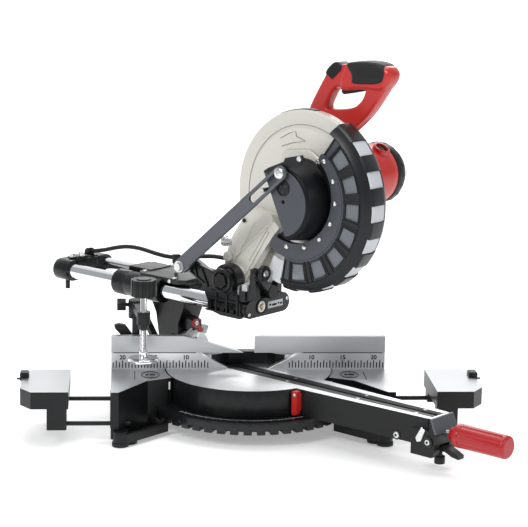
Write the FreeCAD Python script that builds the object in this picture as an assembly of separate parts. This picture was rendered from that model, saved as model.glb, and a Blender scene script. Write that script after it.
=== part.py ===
import FreeCAD, Part
import math
import os
from FreeCAD import Vector

# Sliding compound mitre saw with a 255 mm blade, in millimetres.
# Row frame: origin on the mitre axis at the bench plane, +X along the fence,
# +Y to the rear, +Z up.  Everything that turns with the mitre table is drawn
# in the saw frame (blade plane = YZ, front = -Y) and then turned by MITRE.

# ---- driving dimensions -------------------------------------------------
MITRE = 45.0            # mitre setting at rest, degrees to the right
TABLE_Z = 84.0          # table surface above the bench
HALF_LENGTH = 218.0     # half length of the fixed tables
TURN_R = 131.0          # turntable radius
BOWL_R = 133.5          # radius of the cut-out around the turntable
FENCE_T = 12.0          # fence thickness
FENCE_LOW = 26.3        # height of the fixed fence above the table
FENCE_TOP = 53.7        # height of the sliding fences above the table
BENCH_X, BENCH_Y = 190.0, 121.0     # bench holes, from the mitre axis
BENCH_HOLE_R = 4.5

WING_IN, WING_OUT = 282.0, 356.0    # extension wing, from the mitre axis
WING_ROD_R = 3.5
WING_RODS = ((-118.0, 30.0), (-15.0, 40.0))     # (y, z) of the wing rods

STOP_PIN = (-49.5, 82.0)    # (y, z) of the pin that each flip stop swings on

ARM_END = -385.0        # front end of the turntable arm
RECESS = (20.0, 14.5)   # half width of the kerf recess, rear and front
KERF_HALF = 3.0
LOCK_Z = 61.0           # height of the mitre lock rod

RAIL_R, RAIL_X, RAIL_Z = 12.5, 38.0, 194.0
RAIL_Y0, RAIL_Y1 = -20.0, 388.0
CARRIAGE_Y = (150.0, 252.0)
YOKE_Y = (362.0, 396.0)

PIVOT_Y, PIVOT_Z = 7.0, 236.0       # chop pivot of the saw head
DEPTH_SCREW = (2.5, 216.5)          # (x, z) of the depth screw
LINK_Y, LINK_Z = 77.0, 251.0        # lower pivot of the guard link
LINK_X = -82.0
LINK_SLOT = (196.0, 255.5)          # slot centres, from the lower pivot
GUIDE_POST = (-90.8, 393.3)         # post on the head that runs in the slot

BLADE_Y, BLADE_Z = -118.0, 376.0    # blade axis with the head raised
BLADE_R = 127.5
UPPER_R = 135.0                     # upper guard, outside
LOWER_R, LOWER_IN = 143.0, 137.5    # lower guard, outside and inside
DRUM_R = 60.0
GEAR_TEETH, PINION_TEETH = 31, 8
MOTOR_Y, MOTOR_Z, MOTOR_R = -108.0, 394.0, 46.0
BRUSH_X, BRUSH_ANGLE = 144.0, 120.0  # brush bosses: place along the motor and angle round it
HANDLE_X = (43.0, 54.0, 65.0)       # near side, joint line and far side of the handle
BAR_X = (37.0, 71.0)                # sides of the thicker top bar

CLAMP_POST = (-179.0, 22.0)
CLAMP_SCREW = (-168.0, -60.0)

X, Y, Z = Vector(1, 0, 0), Vector(0, 1, 0), Vector(0, 0, 1)


# ---- helpers ------------------------------------------------------------
def box(x0, x1, y0, y1, z0, z1):
    return Part.makeBox(x1 - x0, y1 - y0, z1 - z0, Vector(x0, y0, z0))


def cyl(r, start, axis, length):
    return Part.makeCylinder(r, length, Vector(*start), axis)


def tube(r_out, r_in, start, axis, length):
    return cyl(r_out, start, axis, length).cut(cyl(r_in, start, axis, length))


def prism(points, plane, low, high):
    """Extrude an outline. plane 'z' takes (x, y), 'x' takes (y, z), 'y' takes (x, z)."""
    place = {"z": lambda a, b: Vector(a, b, low),
             "x": lambda a, b: Vector(low, a, b),
             "y": lambda a, b: Vector(a, low, b)}[plane]
    corners = [place(a, b) for a, b in points]
    face = Part.Face(Part.makePolygon(corners + corners[:1]))
    return face.extrude({"x": X, "y": Y, "z": Z}[plane] * (high - low))


def fuse(first, *others):
    return first.multiFuse(list(others)).removeSplitter()


def mirror_x(shape):
    return shape.mirror(Vector(0, 0, 0), X)


def polar(centre, radius, degrees):
    angle = math.radians(degrees)
    return (centre[0] + radius * math.cos(angle), centre[1] + radius * math.sin(angle))


def arc_points(centre, radius, start, end, steps=24):
    return [polar(centre, radius, start + (end - start) * i / steps) for i in range(steps + 1)]


def sector(centre, r_in, r_out, start, end, x0, x1):
    """Ring sector about an axis along X, angles in the (y, z) plane from +Y to +Z."""
    cy, cz = centre
    outer = cyl(r_out, (x0, cy, cz), X, x1 - x0)
    if r_in > 0:
        outer = outer.cut(cyl(r_in, (x0, cy, cz), X, x1 - x0))
    reach = 3 * r_out
    fan = prism([centre] + arc_points(centre, reach, start, end, 8), "x", x0, x1)
    return outer.common(fan)


def chamfer(shape, size, test):
    edges = [e for e in shape.Edges if test(e)]
    try:
        return shape.makeChamfer(size, edges) if edges else shape
    except Part.OCCError:
        return shape


def rounded(shape, radius, test):
    edges = [e for e in shape.Edges if test(e)]
    try:
        return shape.makeFillet(radius, edges) if edges else shape
    except Part.OCCError:
        return shape


def along(edge, axis):
    if edge.Curve.TypeId != "Part::GeomLine":
        return False
    return abs(edge.Curve.Direction.dot(axis)) > 0.999


def pill(x_half, r, y0, y1, z):
    """Stadium-shaped block between the two rails, extruded along Y."""
    ends = [cyl(r, (s * x_half, y0, z), Y, y1 - y0) for s in (-1, 1)]
    return fuse(box(-x_half, x_half, y0, y1, z - r, z + r), *ends)


def save(name, shape, turned=True):
    if turned:
        shape = shape.copy()
        shape.rotate(Vector(0, 0, 0), Z, MITRE)
    shape.exportStep("parts/" + name + ".step")
    print("%-22s solids %d  valid %s  volume %.0f"
          % (name, len(shape.Solids), shape.isValid(), shape.Volume))


# ---- base ---------------------------------------------------------------
TABLE_OUTLINE = [(-HALF_LENGTH, 34), (-HALF_LENGTH, -137), (-206, -137), (-161, -69),
                 (-130, -55), (-70, -20), (-70, 34)]
TABLE_INSIDE = [(-HALF_LENGTH + 6, 28), (-HALF_LENGTH + 6, -131), (-209, -131), (-165, -64),
                (-133, -49), (-76, -15), (-76, 28)]


def table_block():
    return prism(TABLE_OUTLINE, "z", 10, TABLE_Z).cut(cyl(BOWL_R, (0, 0, 0), Z, TABLE_Z + 1))


def foot_leg(side_y):
    """Corner boss with a bench ear, left side, front (-1) or rear (+1)."""
    boss = cyl(12, (-203, 137 * side_y, 6), Z, 18)
    ear = cyl(13, (-BENCH_X, BENCH_Y * side_y, 0), Z, 12)
    bridge = prism([(-203, 137 * side_y), (-192, 133 * side_y), (-178, 116 * side_y),
                    (-198, 112 * side_y)], "z", 6.5, 12)
    hole = cyl(BENCH_HOLE_R, (-BENCH_X, BENCH_Y * side_y, -1), Z, 20)
    recess = cyl(BENCH_HOLE_R + 4, (-BENCH_X, BENCH_Y * side_y, 12), Z, 20)
    shelf = prism([(-203, 149 * side_y), (-193, 148 * side_y), (-129, 84 * side_y),
                   (-146, 58 * side_y), (-214, 122 * side_y)], "z", 6.5, 12)
    lip = prism([(-203, 149 * side_y), (-193, 148 * side_y), (-129, 84 * side_y),
                 (-133, 79 * side_y), (-198, 142 * side_y)], "z", 6.5, 21)
    return fuse(boss, ear, bridge, shelf, lip).cut(hole).cut(recess)


def base_casting():
    side = table_block()
    hollow = prism(TABLE_INSIDE, "z", 8, TABLE_Z - 9).cut(cyl(BOWL_R + 6, (0, 0, 0), Z, TABLE_Z))
    side = side.cut(hollow)
    rear_leg = box(-HALF_LENGTH, -196, 28, 132, 10, 30)
    side = fuse(side, rear_leg, foot_leg(-1), foot_leg(1))
    side = side.cut(cyl(6.2, (CLAMP_POST[0], CLAMP_POST[1], 40), Z, 60))
    for rod_y, rod_z in WING_RODS:
        side = side.cut(cyl(WING_ROD_R + 0.35, (-230, rod_y, rod_z), X, 60))
    beam = box(-170, 170, 4, 28, 12, 29)
    floor = cyl(118, (0, 0, 19), Z, 11)
    hub = cyl(26, (0, 0, 19), Z, 22)
    whole = fuse(side, mirror_x(side), floor, hub, beam)
    whole = whole.cut(cyl(16, (0, 0, 9), Z, 10))
    return whole.cut(cyl(8.05, (0, 0, 10), Z, 40))


def miter_scale_ring():
    """Degree ring in front of the turntable, with detent notches round its lower edge."""
    ring = tube(159, 100, (0, 0, 30), Z, 11)
    skirt = tube(159, 134, (0, 0, 22), Z, 8.5)
    ring = fuse(ring, skirt)
    keep = box(-170, 170, -170, -20, 0, 60)
    ring = ring.common(keep)
    for i in range(-9, 10):
        notch = box(-4, 4, -163, -141, 20, 29)
        notch.rotate(Vector(0, 0, 0), Z, i * 7.5)
        ring = ring.cut(notch)
    outline = prism(TABLE_OUTLINE, "z", 0, 100)
    return ring.cut(outline).cut(mirror_x(outline))


def fixed_fence():
    """Low fence in one casting: two faced halves joined by a bridge behind the kerf gap."""
    top = TABLE_Z + FENCE_LOW
    left = prism([(-HALF_LENGTH, TABLE_Z), (-32, TABLE_Z), (-80, top), (-HALF_LENGTH, top)],
                 "y", 0, FENCE_T)
    right = prism([(30, TABLE_Z), (HALF_LENGTH, TABLE_Z), (HALF_LENGTH, top), (82, top)],
                  "y", 0, FENCE_T)
    left = left.cut(prism([(-40, 13), (-10, -1), (-10, 13)], "z", 80, 120))
    right = right.cut(prism([(40, 13), (10, -1), (10, 13)], "z", 80, 120))
    lift = TABLE_Z + 0.6
    ends = [box(x0, x1, FENCE_T, 26, TABLE_Z, TABLE_Z + 14) for x0, x1 in
            ((-HALF_LENGTH, -150), (150, HALF_LENGTH))]
    curve = [(-150, 12), (-100, 12), (-60, 12), (-44, 20), (-30, 34), (30, 34), (44, 20),
             (60, 12), (150, 12), (150, 26), (70, 26), (52, 34), (34, 50), (-34, 50),
             (-52, 34), (-70, 26), (-150, 26)]
    bridge = prism(curve, "z", lift, TABLE_Z + 20)
    fence = fuse(left, right, bridge, *ends)
    return fence.cut(cyl(6.2, (CLAMP_POST[0], CLAMP_POST[1], 80), Z, 60))


def upper_fence(side):
    """Tall sliding fence above the fixed one; its inner end is cut back for mitre cuts."""
    low, high = TABLE_Z + FENCE_LOW + 0.3, TABLE_Z + FENCE_TOP
    if side < 0:
        outline = [(-HALF_LENGTH, low), (-8, low), (-103, high), (-HALF_LENGTH, high)]
    else:
        outline = [(8, low), (HALF_LENGTH, low), (HALF_LENGTH, high), (8, high)]
    fence = prism(outline, "y", 0, FENCE_T - 1)
    fence = fence.cut(prism([(side * 20.5, 12), (side * 8, -0.5), (0, -0.5), (0, 12)],
                            "z", 80, 150))
    shoe = box(min(side * 70, side * 100), max(side * 70, side * 100), 13.2, 19, low, low + 16)
    neck = box(min(side * 72, side * 98), max(side * 72, side * 98), 11, 13.2, low, low + 14)
    return fuse(fence, neck, shoe)


def fence_lock(side):
    """Thumb knob behind the fence that clamps the sliding part."""
    x = side * 85
    z = TABLE_Z + FENCE_LOW + 8.5
    stem = cyl(3, (x, 19.3, z), Y, 12)
    head = cyl(8, (x, 29, z), Y, 12)
    for i in range(8):
        groove = cyl(1.6, polar3(x, z, 8.6, 45 * i, 28), Y, 14)
        head = head.cut(groove)
    return fuse(stem, head)


def polar3(x, z, radius, degrees, y):
    px, pz = polar((x, z), radius, degrees)
    return (px, y, pz)


def base_feet():
    pads = []
    for sx in (-1, 1):
        for sy in (-1, 1):
            pad = cyl(13, (sx * 203, sy * 137, 0), Z, 6)
            pads.append(pad.cut(cyl(13.2, (sx * BENCH_X, sy * BENCH_Y, 0), Z, 7)))
    return Part.makeCompound(pads)


def clamp_post():
    x, y = CLAMP_POST
    return chamfer(cyl(6.1, (x, y, 46), Z, 146), 1.0, lambda e: e.Length < 45 and
                   e.CenterOfMass.z > 191)


def miter_pivot_bolt():
    shank = cyl(8.0, (0, 0, 19.5), Z, 42)
    head = prism([polar((0, 0), 13, 60 * i) for i in range(6)], "z", 10, 19)
    washer = cyl(15, (0, 0, 61.5), Z, 3)
    return fuse(shank, head, cyl(8.0, (0, 0, 18), Z, 2), washer)


# ---- extension wings ----------------------------------------------------
def wing_table():
    """Left wing: chamfered top plate with side walls and one leg."""
    outline = [(-WING_IN, -2), (-WING_IN, -135), (-339, -135), (-WING_OUT, -110),
               (-WING_OUT, -25), (-339, -2)]
    inside = [(-WING_IN - 5, -7), (-WING_IN - 5, -130), (-336, -130), (-WING_OUT + 5, -108),
              (-WING_OUT + 5, -27), (-336, -7)]
    wing = prism(outline, "z", 57, TABLE_Z).cut(prism(inside, "z", 50, TABLE_Z - 6))
    leg = box(-315, -WING_IN - 3, -135, -100, 24, 60)
    rear_leg = box(-300, -WING_IN - 3, -26, -4, 36, 60)
    wing = fuse(wing, leg.cut(box(-310, -WING_IN - 8, -130, -90, 30, 60)), rear_leg)
    for rod_y, rod_z in WING_RODS:
        wing = wing.cut(cyl(WING_ROD_R, (-340, rod_y, rod_z), X, 100))
    notch = fuse(box(-360, -345, -53, -30, 63, 90), cyl(1.75, (-346, *STOP_PIN), X, 8))
    return wing.cut(notch).cut(cyl(3, (-302, -118, 20), Z, 9))


def wing_rods():
    """Two guide rods and the levelling screw of the left wing."""
    front = cyl(WING_ROD_R, (-315, WING_RODS[0][0], WING_RODS[0][1]), X, 127)
    rear = cyl(WING_ROD_R, (-300, WING_RODS[1][0], WING_RODS[1][1]), X, 107)
    screw = fuse(cyl(3, (-302, -118, 21), Z, 7.4), cyl(6, (-302, -118, 21), Z, 3))
    return Part.makeCompound([front, rear, screw])


def flip_stop():
    """Small stop that swings up over the outer edge of the left wing."""
    block = box(-359, -345.3, -51.5, -34.5, 79.3, 92)
    block = rounded(block, 2.5, lambda e: along(e, Y) and e.CenterOfMass.z > 90)
    return fuse(block, cyl(1.4, (-364, *STOP_PIN), X, 25.5))


def wing_lock(side):
    """Thumb knob on the rear wall of the base that clamps the wing rods."""
    x = side * 184
    knob = cyl(10, (x, 41, 52), Y, 11)
    for i in range(8):
        knob = knob.cut(cyl(1.8, polar3(x, 52, 10.6, 45 * i, 40), Y, 13))
    return fuse(cyl(3, (x, 34.3, 52), Y, 8), knob)


# ---- hold-down clamp ----------------------------------------------------
def clamp_bracket():
    """Arm that slides on the post and carries the screw nut."""
    px, py = CLAMP_POST
    sx, sy = CLAMP_SCREW
    socket = cyl(12, (px, py, 163), Z, 29)
    nut = cyl(10.5, (sx, sy, 172), Z, 20)
    arm = prism([(px - 7, py), (sx - 6, sy), (sx + 6, sy), (px + 7, py)], "z", 176, 189)
    strut = prism([(px - 3, py - 4), (sx - 3, sy + 20), (sx + 3, sy + 20), (px + 3, py - 4)],
                  "z", 166, 177)
    bracket = fuse(socket, nut, arm, strut)
    bracket = bracket.cut(cyl(6.2, (px, py, 150), Z, 60))
    bracket = bracket.cut(cyl(5.35, (sx, sy, 160), Z, 40))
    return bracket.cut(cyl(3.3, (px - 30, py, 184), X, 29))


def clamp_lock_knob():
    px, py = CLAMP_POST
    stem = cyl(3, (px - 18, py, 184), X, 11.2)
    knob = cyl(9.5, (px - 30, py, 184), X, 14)
    for i in range(6):
        angle = math.radians(60 * i)
        centre = (px - 31, py + 10.6 * math.cos(angle), 184 + 10.6 * math.sin(angle))
        knob = knob.cut(cyl(3, centre, X, 16))
    return fuse(stem, knob)


def clamp_screw():
    sx, sy = CLAMP_SCREW
    rod = cyl(5, (sx, sy, 122), Z, 95)
    socket = cyl(6.5, (sx, sy, 118.5), Z, 12)
    foot = chamfer(cyl(24, (sx, sy, 112), Z, 6.5), 2.0, lambda e: e.Length > 100)
    return Part.makeCompound([fuse(rod, socket), foot])


def clamp_knob():
    sx, sy = CLAMP_SCREW
    knob = cyl(20, (sx, sy, 217), Z, 26)
    for i in range(12):
        cx, cy = polar((sx, sy), 21, 30 * i)
        knob = knob.cut(cyl(2.6, (cx, cy, 216), Z, 30))
    return knob


# ---- turntable and its arm ---------------------------------------------
def tapered(half_rear, half_front, y_rear, y_front, z0, z1):
    return prism([(-half_rear, y_rear), (half_rear, y_rear), (half_front, y_front),
                  (-half_front, y_front)], "z", z0, z1)


def turntable():
    disc = cyl(TURN_R, (0, 0, 66), Z, TABLE_Z - 66)
    skirt = tube(TURN_R, TURN_R - 7, (0, 0, 41.6), Z, 30)
    hub = cyl(26, (0, 0, 41.6), Z, 26)
    arm = tapered(36, 24, -60, ARM_END + 14, 41.6, TABLE_Z)
    hollow = tapered(27, 18, -132, ARM_END + 40, 30, 66)
    arm = arm.cut(tapered(36, 27, -60, -119, 30, 66)).cut(hollow)
    nose = prism([(ARM_END + 42, 26), (ARM_END + 4, 26), (ARM_END, 34), (ARM_END, 64),
                  (ARM_END + 9.2, TABLE_Z), (ARM_END + 42, TABLE_Z)], "x", -27, 27)
    nose = nose.cut(box(-30, -22.9, ARM_END + 9.2, -300, 66, 90))
    nose = nose.cut(box(22.9, 30, ARM_END + 9.2, -300, 66, 90))
    ribs = []
    for i in range(6):
        rib = box(20, TURN_R - 3, -3, 3, 50, 67)
        rib.rotate(Vector(0, 0, 0), Z, 30 + 60 * i)
        ribs.append(rib)
    trunnion = cyl(44, (0, 112, TABLE_Z), Y, 19)
    trunnion = trunnion.cut(box(-60, 60, 100, 124, 66, 140))
    neck = box(-44, 44, 104, 131, 47, 66.5)
    table = fuse(disc, skirt, hub, arm, nose, trunnion, neck, *ribs)
    table = table.cut(tapered(RECESS[0], RECESS[1], 98, ARM_END + 13, 79, 90))
    table = table.cut(box(-6, 6, ARM_END + 27, 92, 71, 90))
    table = table.cut(cyl(8.1, (0, 0, 30), Z, 31.4)).cut(cyl(15.3, (0, 0, 61.3), Z, 20))
    table = table.cut(cyl(5.2, (0, ARM_END - 1, LOCK_Z), Y, 60))
    table = table.cut(cyl(4.2, (0, -377, 20), Z, 32))
    table = table.cut(cyl(10.2, (0, 100, TABLE_Z), Y, 60))
    return table.cut(box(-12, 12, ARM_END - 1, ARM_END + 14, 20, 44))


def kerf_plates():
    plates = []
    for side in (-1, 1):
        outline = [(side * KERF_HALF, 96.5), (side * (RECESS[0] - 0.3), 96.5),
                   (side * (RECESS[1] - 0.2), ARM_END + 14.5),
                   (side * KERF_HALF, ARM_END + 14.5)]
        plates.append(prism(outline, "z", 79, TABLE_Z - 0.3))
    return Part.makeCompound(plates)


def angle_pointer():
    """Pointer on the near side of the arm root, reading on the degree ring."""
    body = prism([(-138, 82), (-128, 82), (-128, 46), (-132, 43.5), (-138, 46)], "x", -45, -36)
    body = rounded(body, 2, lambda e: along(e, X) and e.CenterOfMass.z > 80)
    return fuse(body, box(-37, -33.5, -138, -131, 50, 78))


def front_foot():
    """Adjustable anti-tip foot under the arm."""
    return fuse(cyl(4, (0, -377, 16), Z, 32), cyl(8, (0, -377, 12), Z, 11))


def miter_lock_rod():
    return cyl(4.9, (0, ARM_END - 30, LOCK_Z), Y, 76)


def miter_lock_handle():
    """Ribbed grip that is turned to lock the mitre angle."""
    start, length = ARM_END - 112, 92
    grip = cyl(17.5, (0, start, LOCK_Z), Y, length)
    grip = rounded(grip, 5, lambda e: e.Length > 100 and e.Curve.TypeId == "Part::GeomCircle")
    collar = cyl(10, (0, start + length - 0.5, LOCK_Z), Y, 8)
    for i in range(8):
        angle = math.radians(45 * i + 22.5)
        centre = (21.5 * math.cos(angle), start + 8, LOCK_Z + 21.5 * math.sin(angle))
        grip = grip.cut(cyl(5.5, centre, Y, length - 20))
    return fuse(grip, collar).cut(cyl(4.9, (0, ARM_END - 30, LOCK_Z), Y, 20))


def detent_lever():
    """Lever under the handle that lifts the detent pin."""
    side = [(ARM_END + 10, 41), (ARM_END - 4, 42), (ARM_END - 20, 36), (ARM_END - 30, 31),
            (ARM_END - 30, 26), (ARM_END - 18, 28), (ARM_END - 4, 34), (ARM_END + 10, 33)]
    lever = prism(side, "x", -7, 7).cut(cyl(6.5, (0, -377, 20), Z, 40))
    return fuse(lever, cyl(1.5, (-11.6, ARM_END + 1.5, 38), X, 23.2))


# ---- bevel arm and slide carriage ---------------------------------------
def bevel_neck():
    """Casting that tilts on the trunnion and carries the slide carriage."""
    flange = cyl(44, (0, 131.5, TABLE_Z), Y, 14)
    side = [(131.5, 92), (131.5, 140), (120, 168), (112, 196), (112, 208.6), (196, 208.6),
            (196, 176), (182, 150), (172, 92), (160, 60), (145, 60)]
    column = prism(side, "x", -24, 24)
    neck = fuse(flange, column)
    for s in (-1, 1):
        neck = neck.cut(cyl(20.6, (s * RAIL_X, 100, RAIL_Z), Y, 160))
    return neck.cut(cyl(10.2, (0, 120, TABLE_Z), Y, 60))


def carriage():
    """Sliding carriage with two bushed bores and a flat clamp plate on top."""
    y0, y1 = CARRIAGE_Y
    barrels = [cyl(20.5, (s * RAIL_X, y0, RAIL_Z), Y, y1 - y0) for s in (-1, 1)]
    web = box(-RAIL_X, RAIL_X, 196.2, y1, RAIL_Z - 14, RAIL_Z + 12)
    plate = box(-43, 43, 105, 210, 208.7, 217)
    plate = chamfer(plate, 10, lambda e: along(e, Z))
    block = fuse(web, plate, *barrels)
    block = block.cut(box(-17, 17, 140, 196.2, 170, 208.65))
    for s in (-1, 1):
        block = block.cut(cyl(16, (s * RAIL_X, 100, RAIL_Z), Y, 160))
    return block.cut(cyl(3.3, (0, 160, 200), Z, 30))


def linear_bushings():
    y0, y1 = CARRIAGE_Y
    rings = []
    for s in (-1, 1):
        for start in (y0 + 4, y1 - 34):
            rings.append(tube(16, RAIL_R + 0.08, (s * RAIL_X, start, RAIL_Z), Y, 30))
    return Part.makeCompound(rings)


def bevel_pivot_bolt():
    shank = cyl(10.1, (0, 124.2, TABLE_Z), Y, 52)
    nut = prism([polar((0, TABLE_Z), 15, 60 * i) for i in range(6)], "y", 176.2, 188)
    return fuse(shank, nut)


def bevel_lock_lever():
    """Clamping lever at the rear of the bevel pivot."""
    hub = cyl(14, (0, 188.4, TABLE_Z), Y, 14)
    arm = prism([(-6, 84), (6, 84), (-28, 140), (-38, 136)], "y", 192, 200)
    grip = cyl(8, (-33, 196, 138), Vector(-0.5, 0, 0.86), 26)
    return fuse(hub, arm, grip)


def slide_lock_knob():
    """Winged thumb screw that locks the slide."""
    stem = cyl(3, (0, 160, 209), Z, 16)
    wing = box(-2.8, 2.8, 152, 168, 222, 238)
    wing = rounded(wing, 2.0, lambda e: along(e, X))
    return fuse(stem, wing)


# ---- slide frame --------------------------------------------------------
def slide_rails():
    tubes = [tube(RAIL_R, RAIL_R - 2.5, (s * RAIL_X, RAIL_Y0, RAIL_Z), Y, RAIL_Y1 - RAIL_Y0)
             for s in (-1, 1)]
    return Part.makeCompound(tubes)


def rear_yoke():
    y0, y1 = YOKE_Y
    yoke = pill(RAIL_X, 17.5, y0, y1, RAIL_Z)
    yoke = chamfer(yoke, 2.5, lambda e: abs(e.CenterOfMass.y - y1) < 0.1)
    for s in (-1, 1):
        yoke = yoke.cut(cyl(RAIL_R, (s * RAIL_X, y0 - 1, RAIL_Z), Y, RAIL_Y1 - y0 + 1))
    pin = cyl(4, (-RAIL_X, y0 + 14, RAIL_Z - 32), Z, 16)
    return fuse(yoke, pin)


def front_bracket():
    """Front rail bracket with the clevis of the chop pivot and the link arm."""
    body = pill(RAIL_X, 15.5, -36, 36, RAIL_Z)
    web = prism([(36, 196), (36, 186), (10, 180), (-30, 180), (-30, 206), (-14, 222),
                 (-14, 236), (-8, 248), (7, 256), (22, 250), (40, 250), (66, 262),
                 (84, 262), (90, 254), (86, 243), (70, 238), (50, 224), (40, 205)], "x", -58, -50)
    web = web.cut(box(-60, -50.5, -26, 30, 186, 203))
    link_boss = cyl(11, (-72, LINK_Y, LINK_Z), X, 16)
    lug = prism([(-20, 205), (-20, 236), (-12, 250), (7, 257), (24, 250), (32, 236), (32, 205)],
                "x", 44, 54)
    stop = prism([(-36, 200), (-22, 200), (-22, 224), (-30, 228), (-36, 224)], "x", -8, 13)
    bracket = fuse(body, web, link_boss, lug, stop.cut(cyl(5, (DEPTH_SCREW[0], -46, DEPTH_SCREW[1]), Y, 40)))
    bracket = bracket.cut(box(-32, 44, -18, 37, 209, 230))
    for s in (-1, 1):
        bracket = bracket.cut(cyl(RAIL_R, (s * RAIL_X, RAIL_Y0, RAIL_Z), Y, 80))
    bracket = bracket.cut(cyl(9.5, (-17, -37, RAIL_Z - 1), Y, 8))
    bracket = bracket.cut(cyl(9.0, (-80, PIVOT_Y, PIVOT_Z), X, 160))
    return bracket.cut(cyl(4.0, (-90, LINK_Y, LINK_Z), X, 32))


def head_pivot_shaft():
    shaft = cyl(9.0, (-60, PIVOT_Y, PIVOT_Z), X, 116)
    heads = [prism([polar((PIVOT_Y, PIVOT_Z), 12.5, 60 * i + 15) for i in range(6)], "x", a, b)
             for a, b in ((-64, -58), (54, 60))]
    return fuse(shaft, *heads)


def depth_stop():
    """Knurled depth screw in the front bracket."""
    x, z = DEPTH_SCREW
    screw = cyl(4.7, (x, -37, z), Y, 17)
    knob = cyl(11, (x, -47.6, z), Y, 11.2)
    for i in range(16):
        knob = knob.cut(cyl(1.1, polar3(x, z, 11.4, 22.5 * i, -49), Y, 14))
    return fuse(screw, knob)


# ---- saw head -----------------------------------------------------------
CENTRE = (BLADE_Y, BLADE_Z)
ARM_OUTLINE = [(29, 240), (29, 257), (19, 294), (1, 321), (-24, 352), (-100, 340),
               (-87, 333), (-71, 315), (-45.5, 280), (-17, 236)]


def saw_arm():
    """Cast arm from the chop pivot to the gear housing behind the blade."""
    barrel = cyl(23, (-30, PIVOT_Y, PIVOT_Z), X, 72)
    body = prism(ARM_OUTLINE, "x", -28, -12)
    spine = prism(ARM_OUTLINE, "x", 14, 40)
    middle = prism([(29, 242), (27, 262), (22, 286), (10, 262), (-10, 245), (-16, 232)],
                   "x", -12, 16)
    gearbox = fuse(cyl(54, (14, BLADE_Y, BLADE_Z), X, 36),
                   cyl(MOTOR_R + 2, (14, MOTOR_Y, MOTOR_Z), X, 48))
    spine = spine.cut(cyl(54.2, (0, BLADE_Y, BLADE_Z), X, 60))
    bridge = prism([(-100, 330), (-22, 352), (-50, 396), (-90, 420), (-120, 400)], "x", 14, 40)
    arm = fuse(barrel, body, middle, spine, bridge, gearbox)
    arm = arm.cut(cyl(9.1, (-40, PIVOT_Y, PIVOT_Z), X, 120))
    cavity = fuse(cyl(40, (19, BLADE_Y, BLADE_Z), X, 27), cyl(30, (19, MOTOR_Y, MOTOR_Z), X, 38))
    arm = arm.cut(cavity).cut(cyl(8.1, (10, BLADE_Y, BLADE_Z), X, 12))
    arm = arm.cut(cyl(5.2, (50, MOTOR_Y, MOTOR_Z), X, 20))
    for i in range(2):
        rib = prism([(4 - 30 * i, 262 + 6 * i), (8 - 30 * i, 262 + 6 * i),
                     (-32 - 30 * i, 330), (-36 - 30 * i, 330)], "x", -29, -26.5)
        arm = arm.cut(rib)
    return arm.cut(cyl(DRUM_R + 1, (-80, BLADE_Y, BLADE_Z), X, 69))


GUARD_ARC = (-42.0, 134.0)
GUARD_X = (-12.0, 5.5)              # near and far faces of the upper guard


def upper_guard():
    """Fixed blade guard: a thin shell with a stepped rim, open below."""
    a0, a1 = GUARD_ARC
    near, far = GUARD_X
    shell = sector(CENTRE, 0, UPPER_R, a0, a1, near, far)
    shell = shell.cut(sector(CENTRE, 0, UPPER_R - 3, a0 - 5, a1 + 5, near + 2.5, far - 2.5))
    rib = sector(CENTRE, 122, 125, a0 + 6, a1 - 4, near - 2, near + 0.5)
    hub = sector(CENTRE, 0, 74, 20, 136, near - 8, near + 0.5)
    vent = sector(CENTRE, UPPER_R - 1, UPPER_R + 1.8, 58, 82, near + 3, far - 3)
    guard = fuse(shell, rib, hub, vent)
    guard = guard.cut(cyl(DRUM_R + 1, (-40, BLADE_Y, BLADE_Z), X, 40 + near + 0.5))
    guard = guard.cut(cyl(24, (near - 1, BLADE_Y, BLADE_Z), X, 30))
    for low, high in ((-28.5, near + 0.1), (far, 41)):
        guard = guard.cut(prism(ARM_OUTLINE, "x", low, high))
    return max(guard.Solids, key=lambda solid: solid.Volume)


def arbor_cover():
    """Drum-shaped cover over the blade bolt, cut flat on the rear."""
    skirt = cyl(DRUM_R, (-63, BLADE_Y, BLADE_Z), X, 51.4)
    crown = Part.makeCone(DRUM_R - 7, DRUM_R, 8, Vector(-71, BLADE_Y, BLADE_Z), X)
    drum = fuse(skirt, crown).cut(cyl(DRUM_R - 3, (-60, BLADE_Y, BLADE_Z), X, 50))
    ny, nz = math.cos(DRUM_FLAT), math.sin(DRUM_FLAT)
    foot_y, foot_z = BLADE_Y + 14 * ny, BLADE_Z + 14 * nz
    keep = prism([(foot_y - 90 * nz, foot_z + 90 * ny), (foot_y + 90 * nz, foot_z - 90 * ny),
                  (foot_y + 90 * nz - 90 * ny, foot_z - 90 * ny - 90 * nz),
                  (foot_y - 90 * nz - 90 * ny, foot_z + 90 * ny - 90 * nz)], "x", -80, 0)
    drum = drum.common(keep)
    boss = tube(11, 5, (-75, -118, 396), X, 4.2)
    post = cyl(3.5, (-84, *GUIDE_POST), X, 24)
    flag = prism([(-140, 419), (-126, 433), (-150, 450), (-168, 450), (-166, 440), (-146, 420)],
                 "x", -75, -72)
    flag_root = box(-75, -66, -142, -128, 418, 428)
    return fuse(drum, boss, flag, flag_root, post).cut(cyl(3, (-80, -160, 444), X, 9))


DRUM_FLAT = math.radians(-25.0)     # direction of the flat's normal in the (y, z) plane


def sector_ring(r_in, r_out, a0, a1, x0, x1):
    return sector(CENTRE, r_in, r_out, a0, a1, x0, x1)


LOWER_ARC = (125.0, 281.0)
LOWER_X = (-35.0, 10.0)             # near and far faces of the lower guard
WINDOWS = 7


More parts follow.
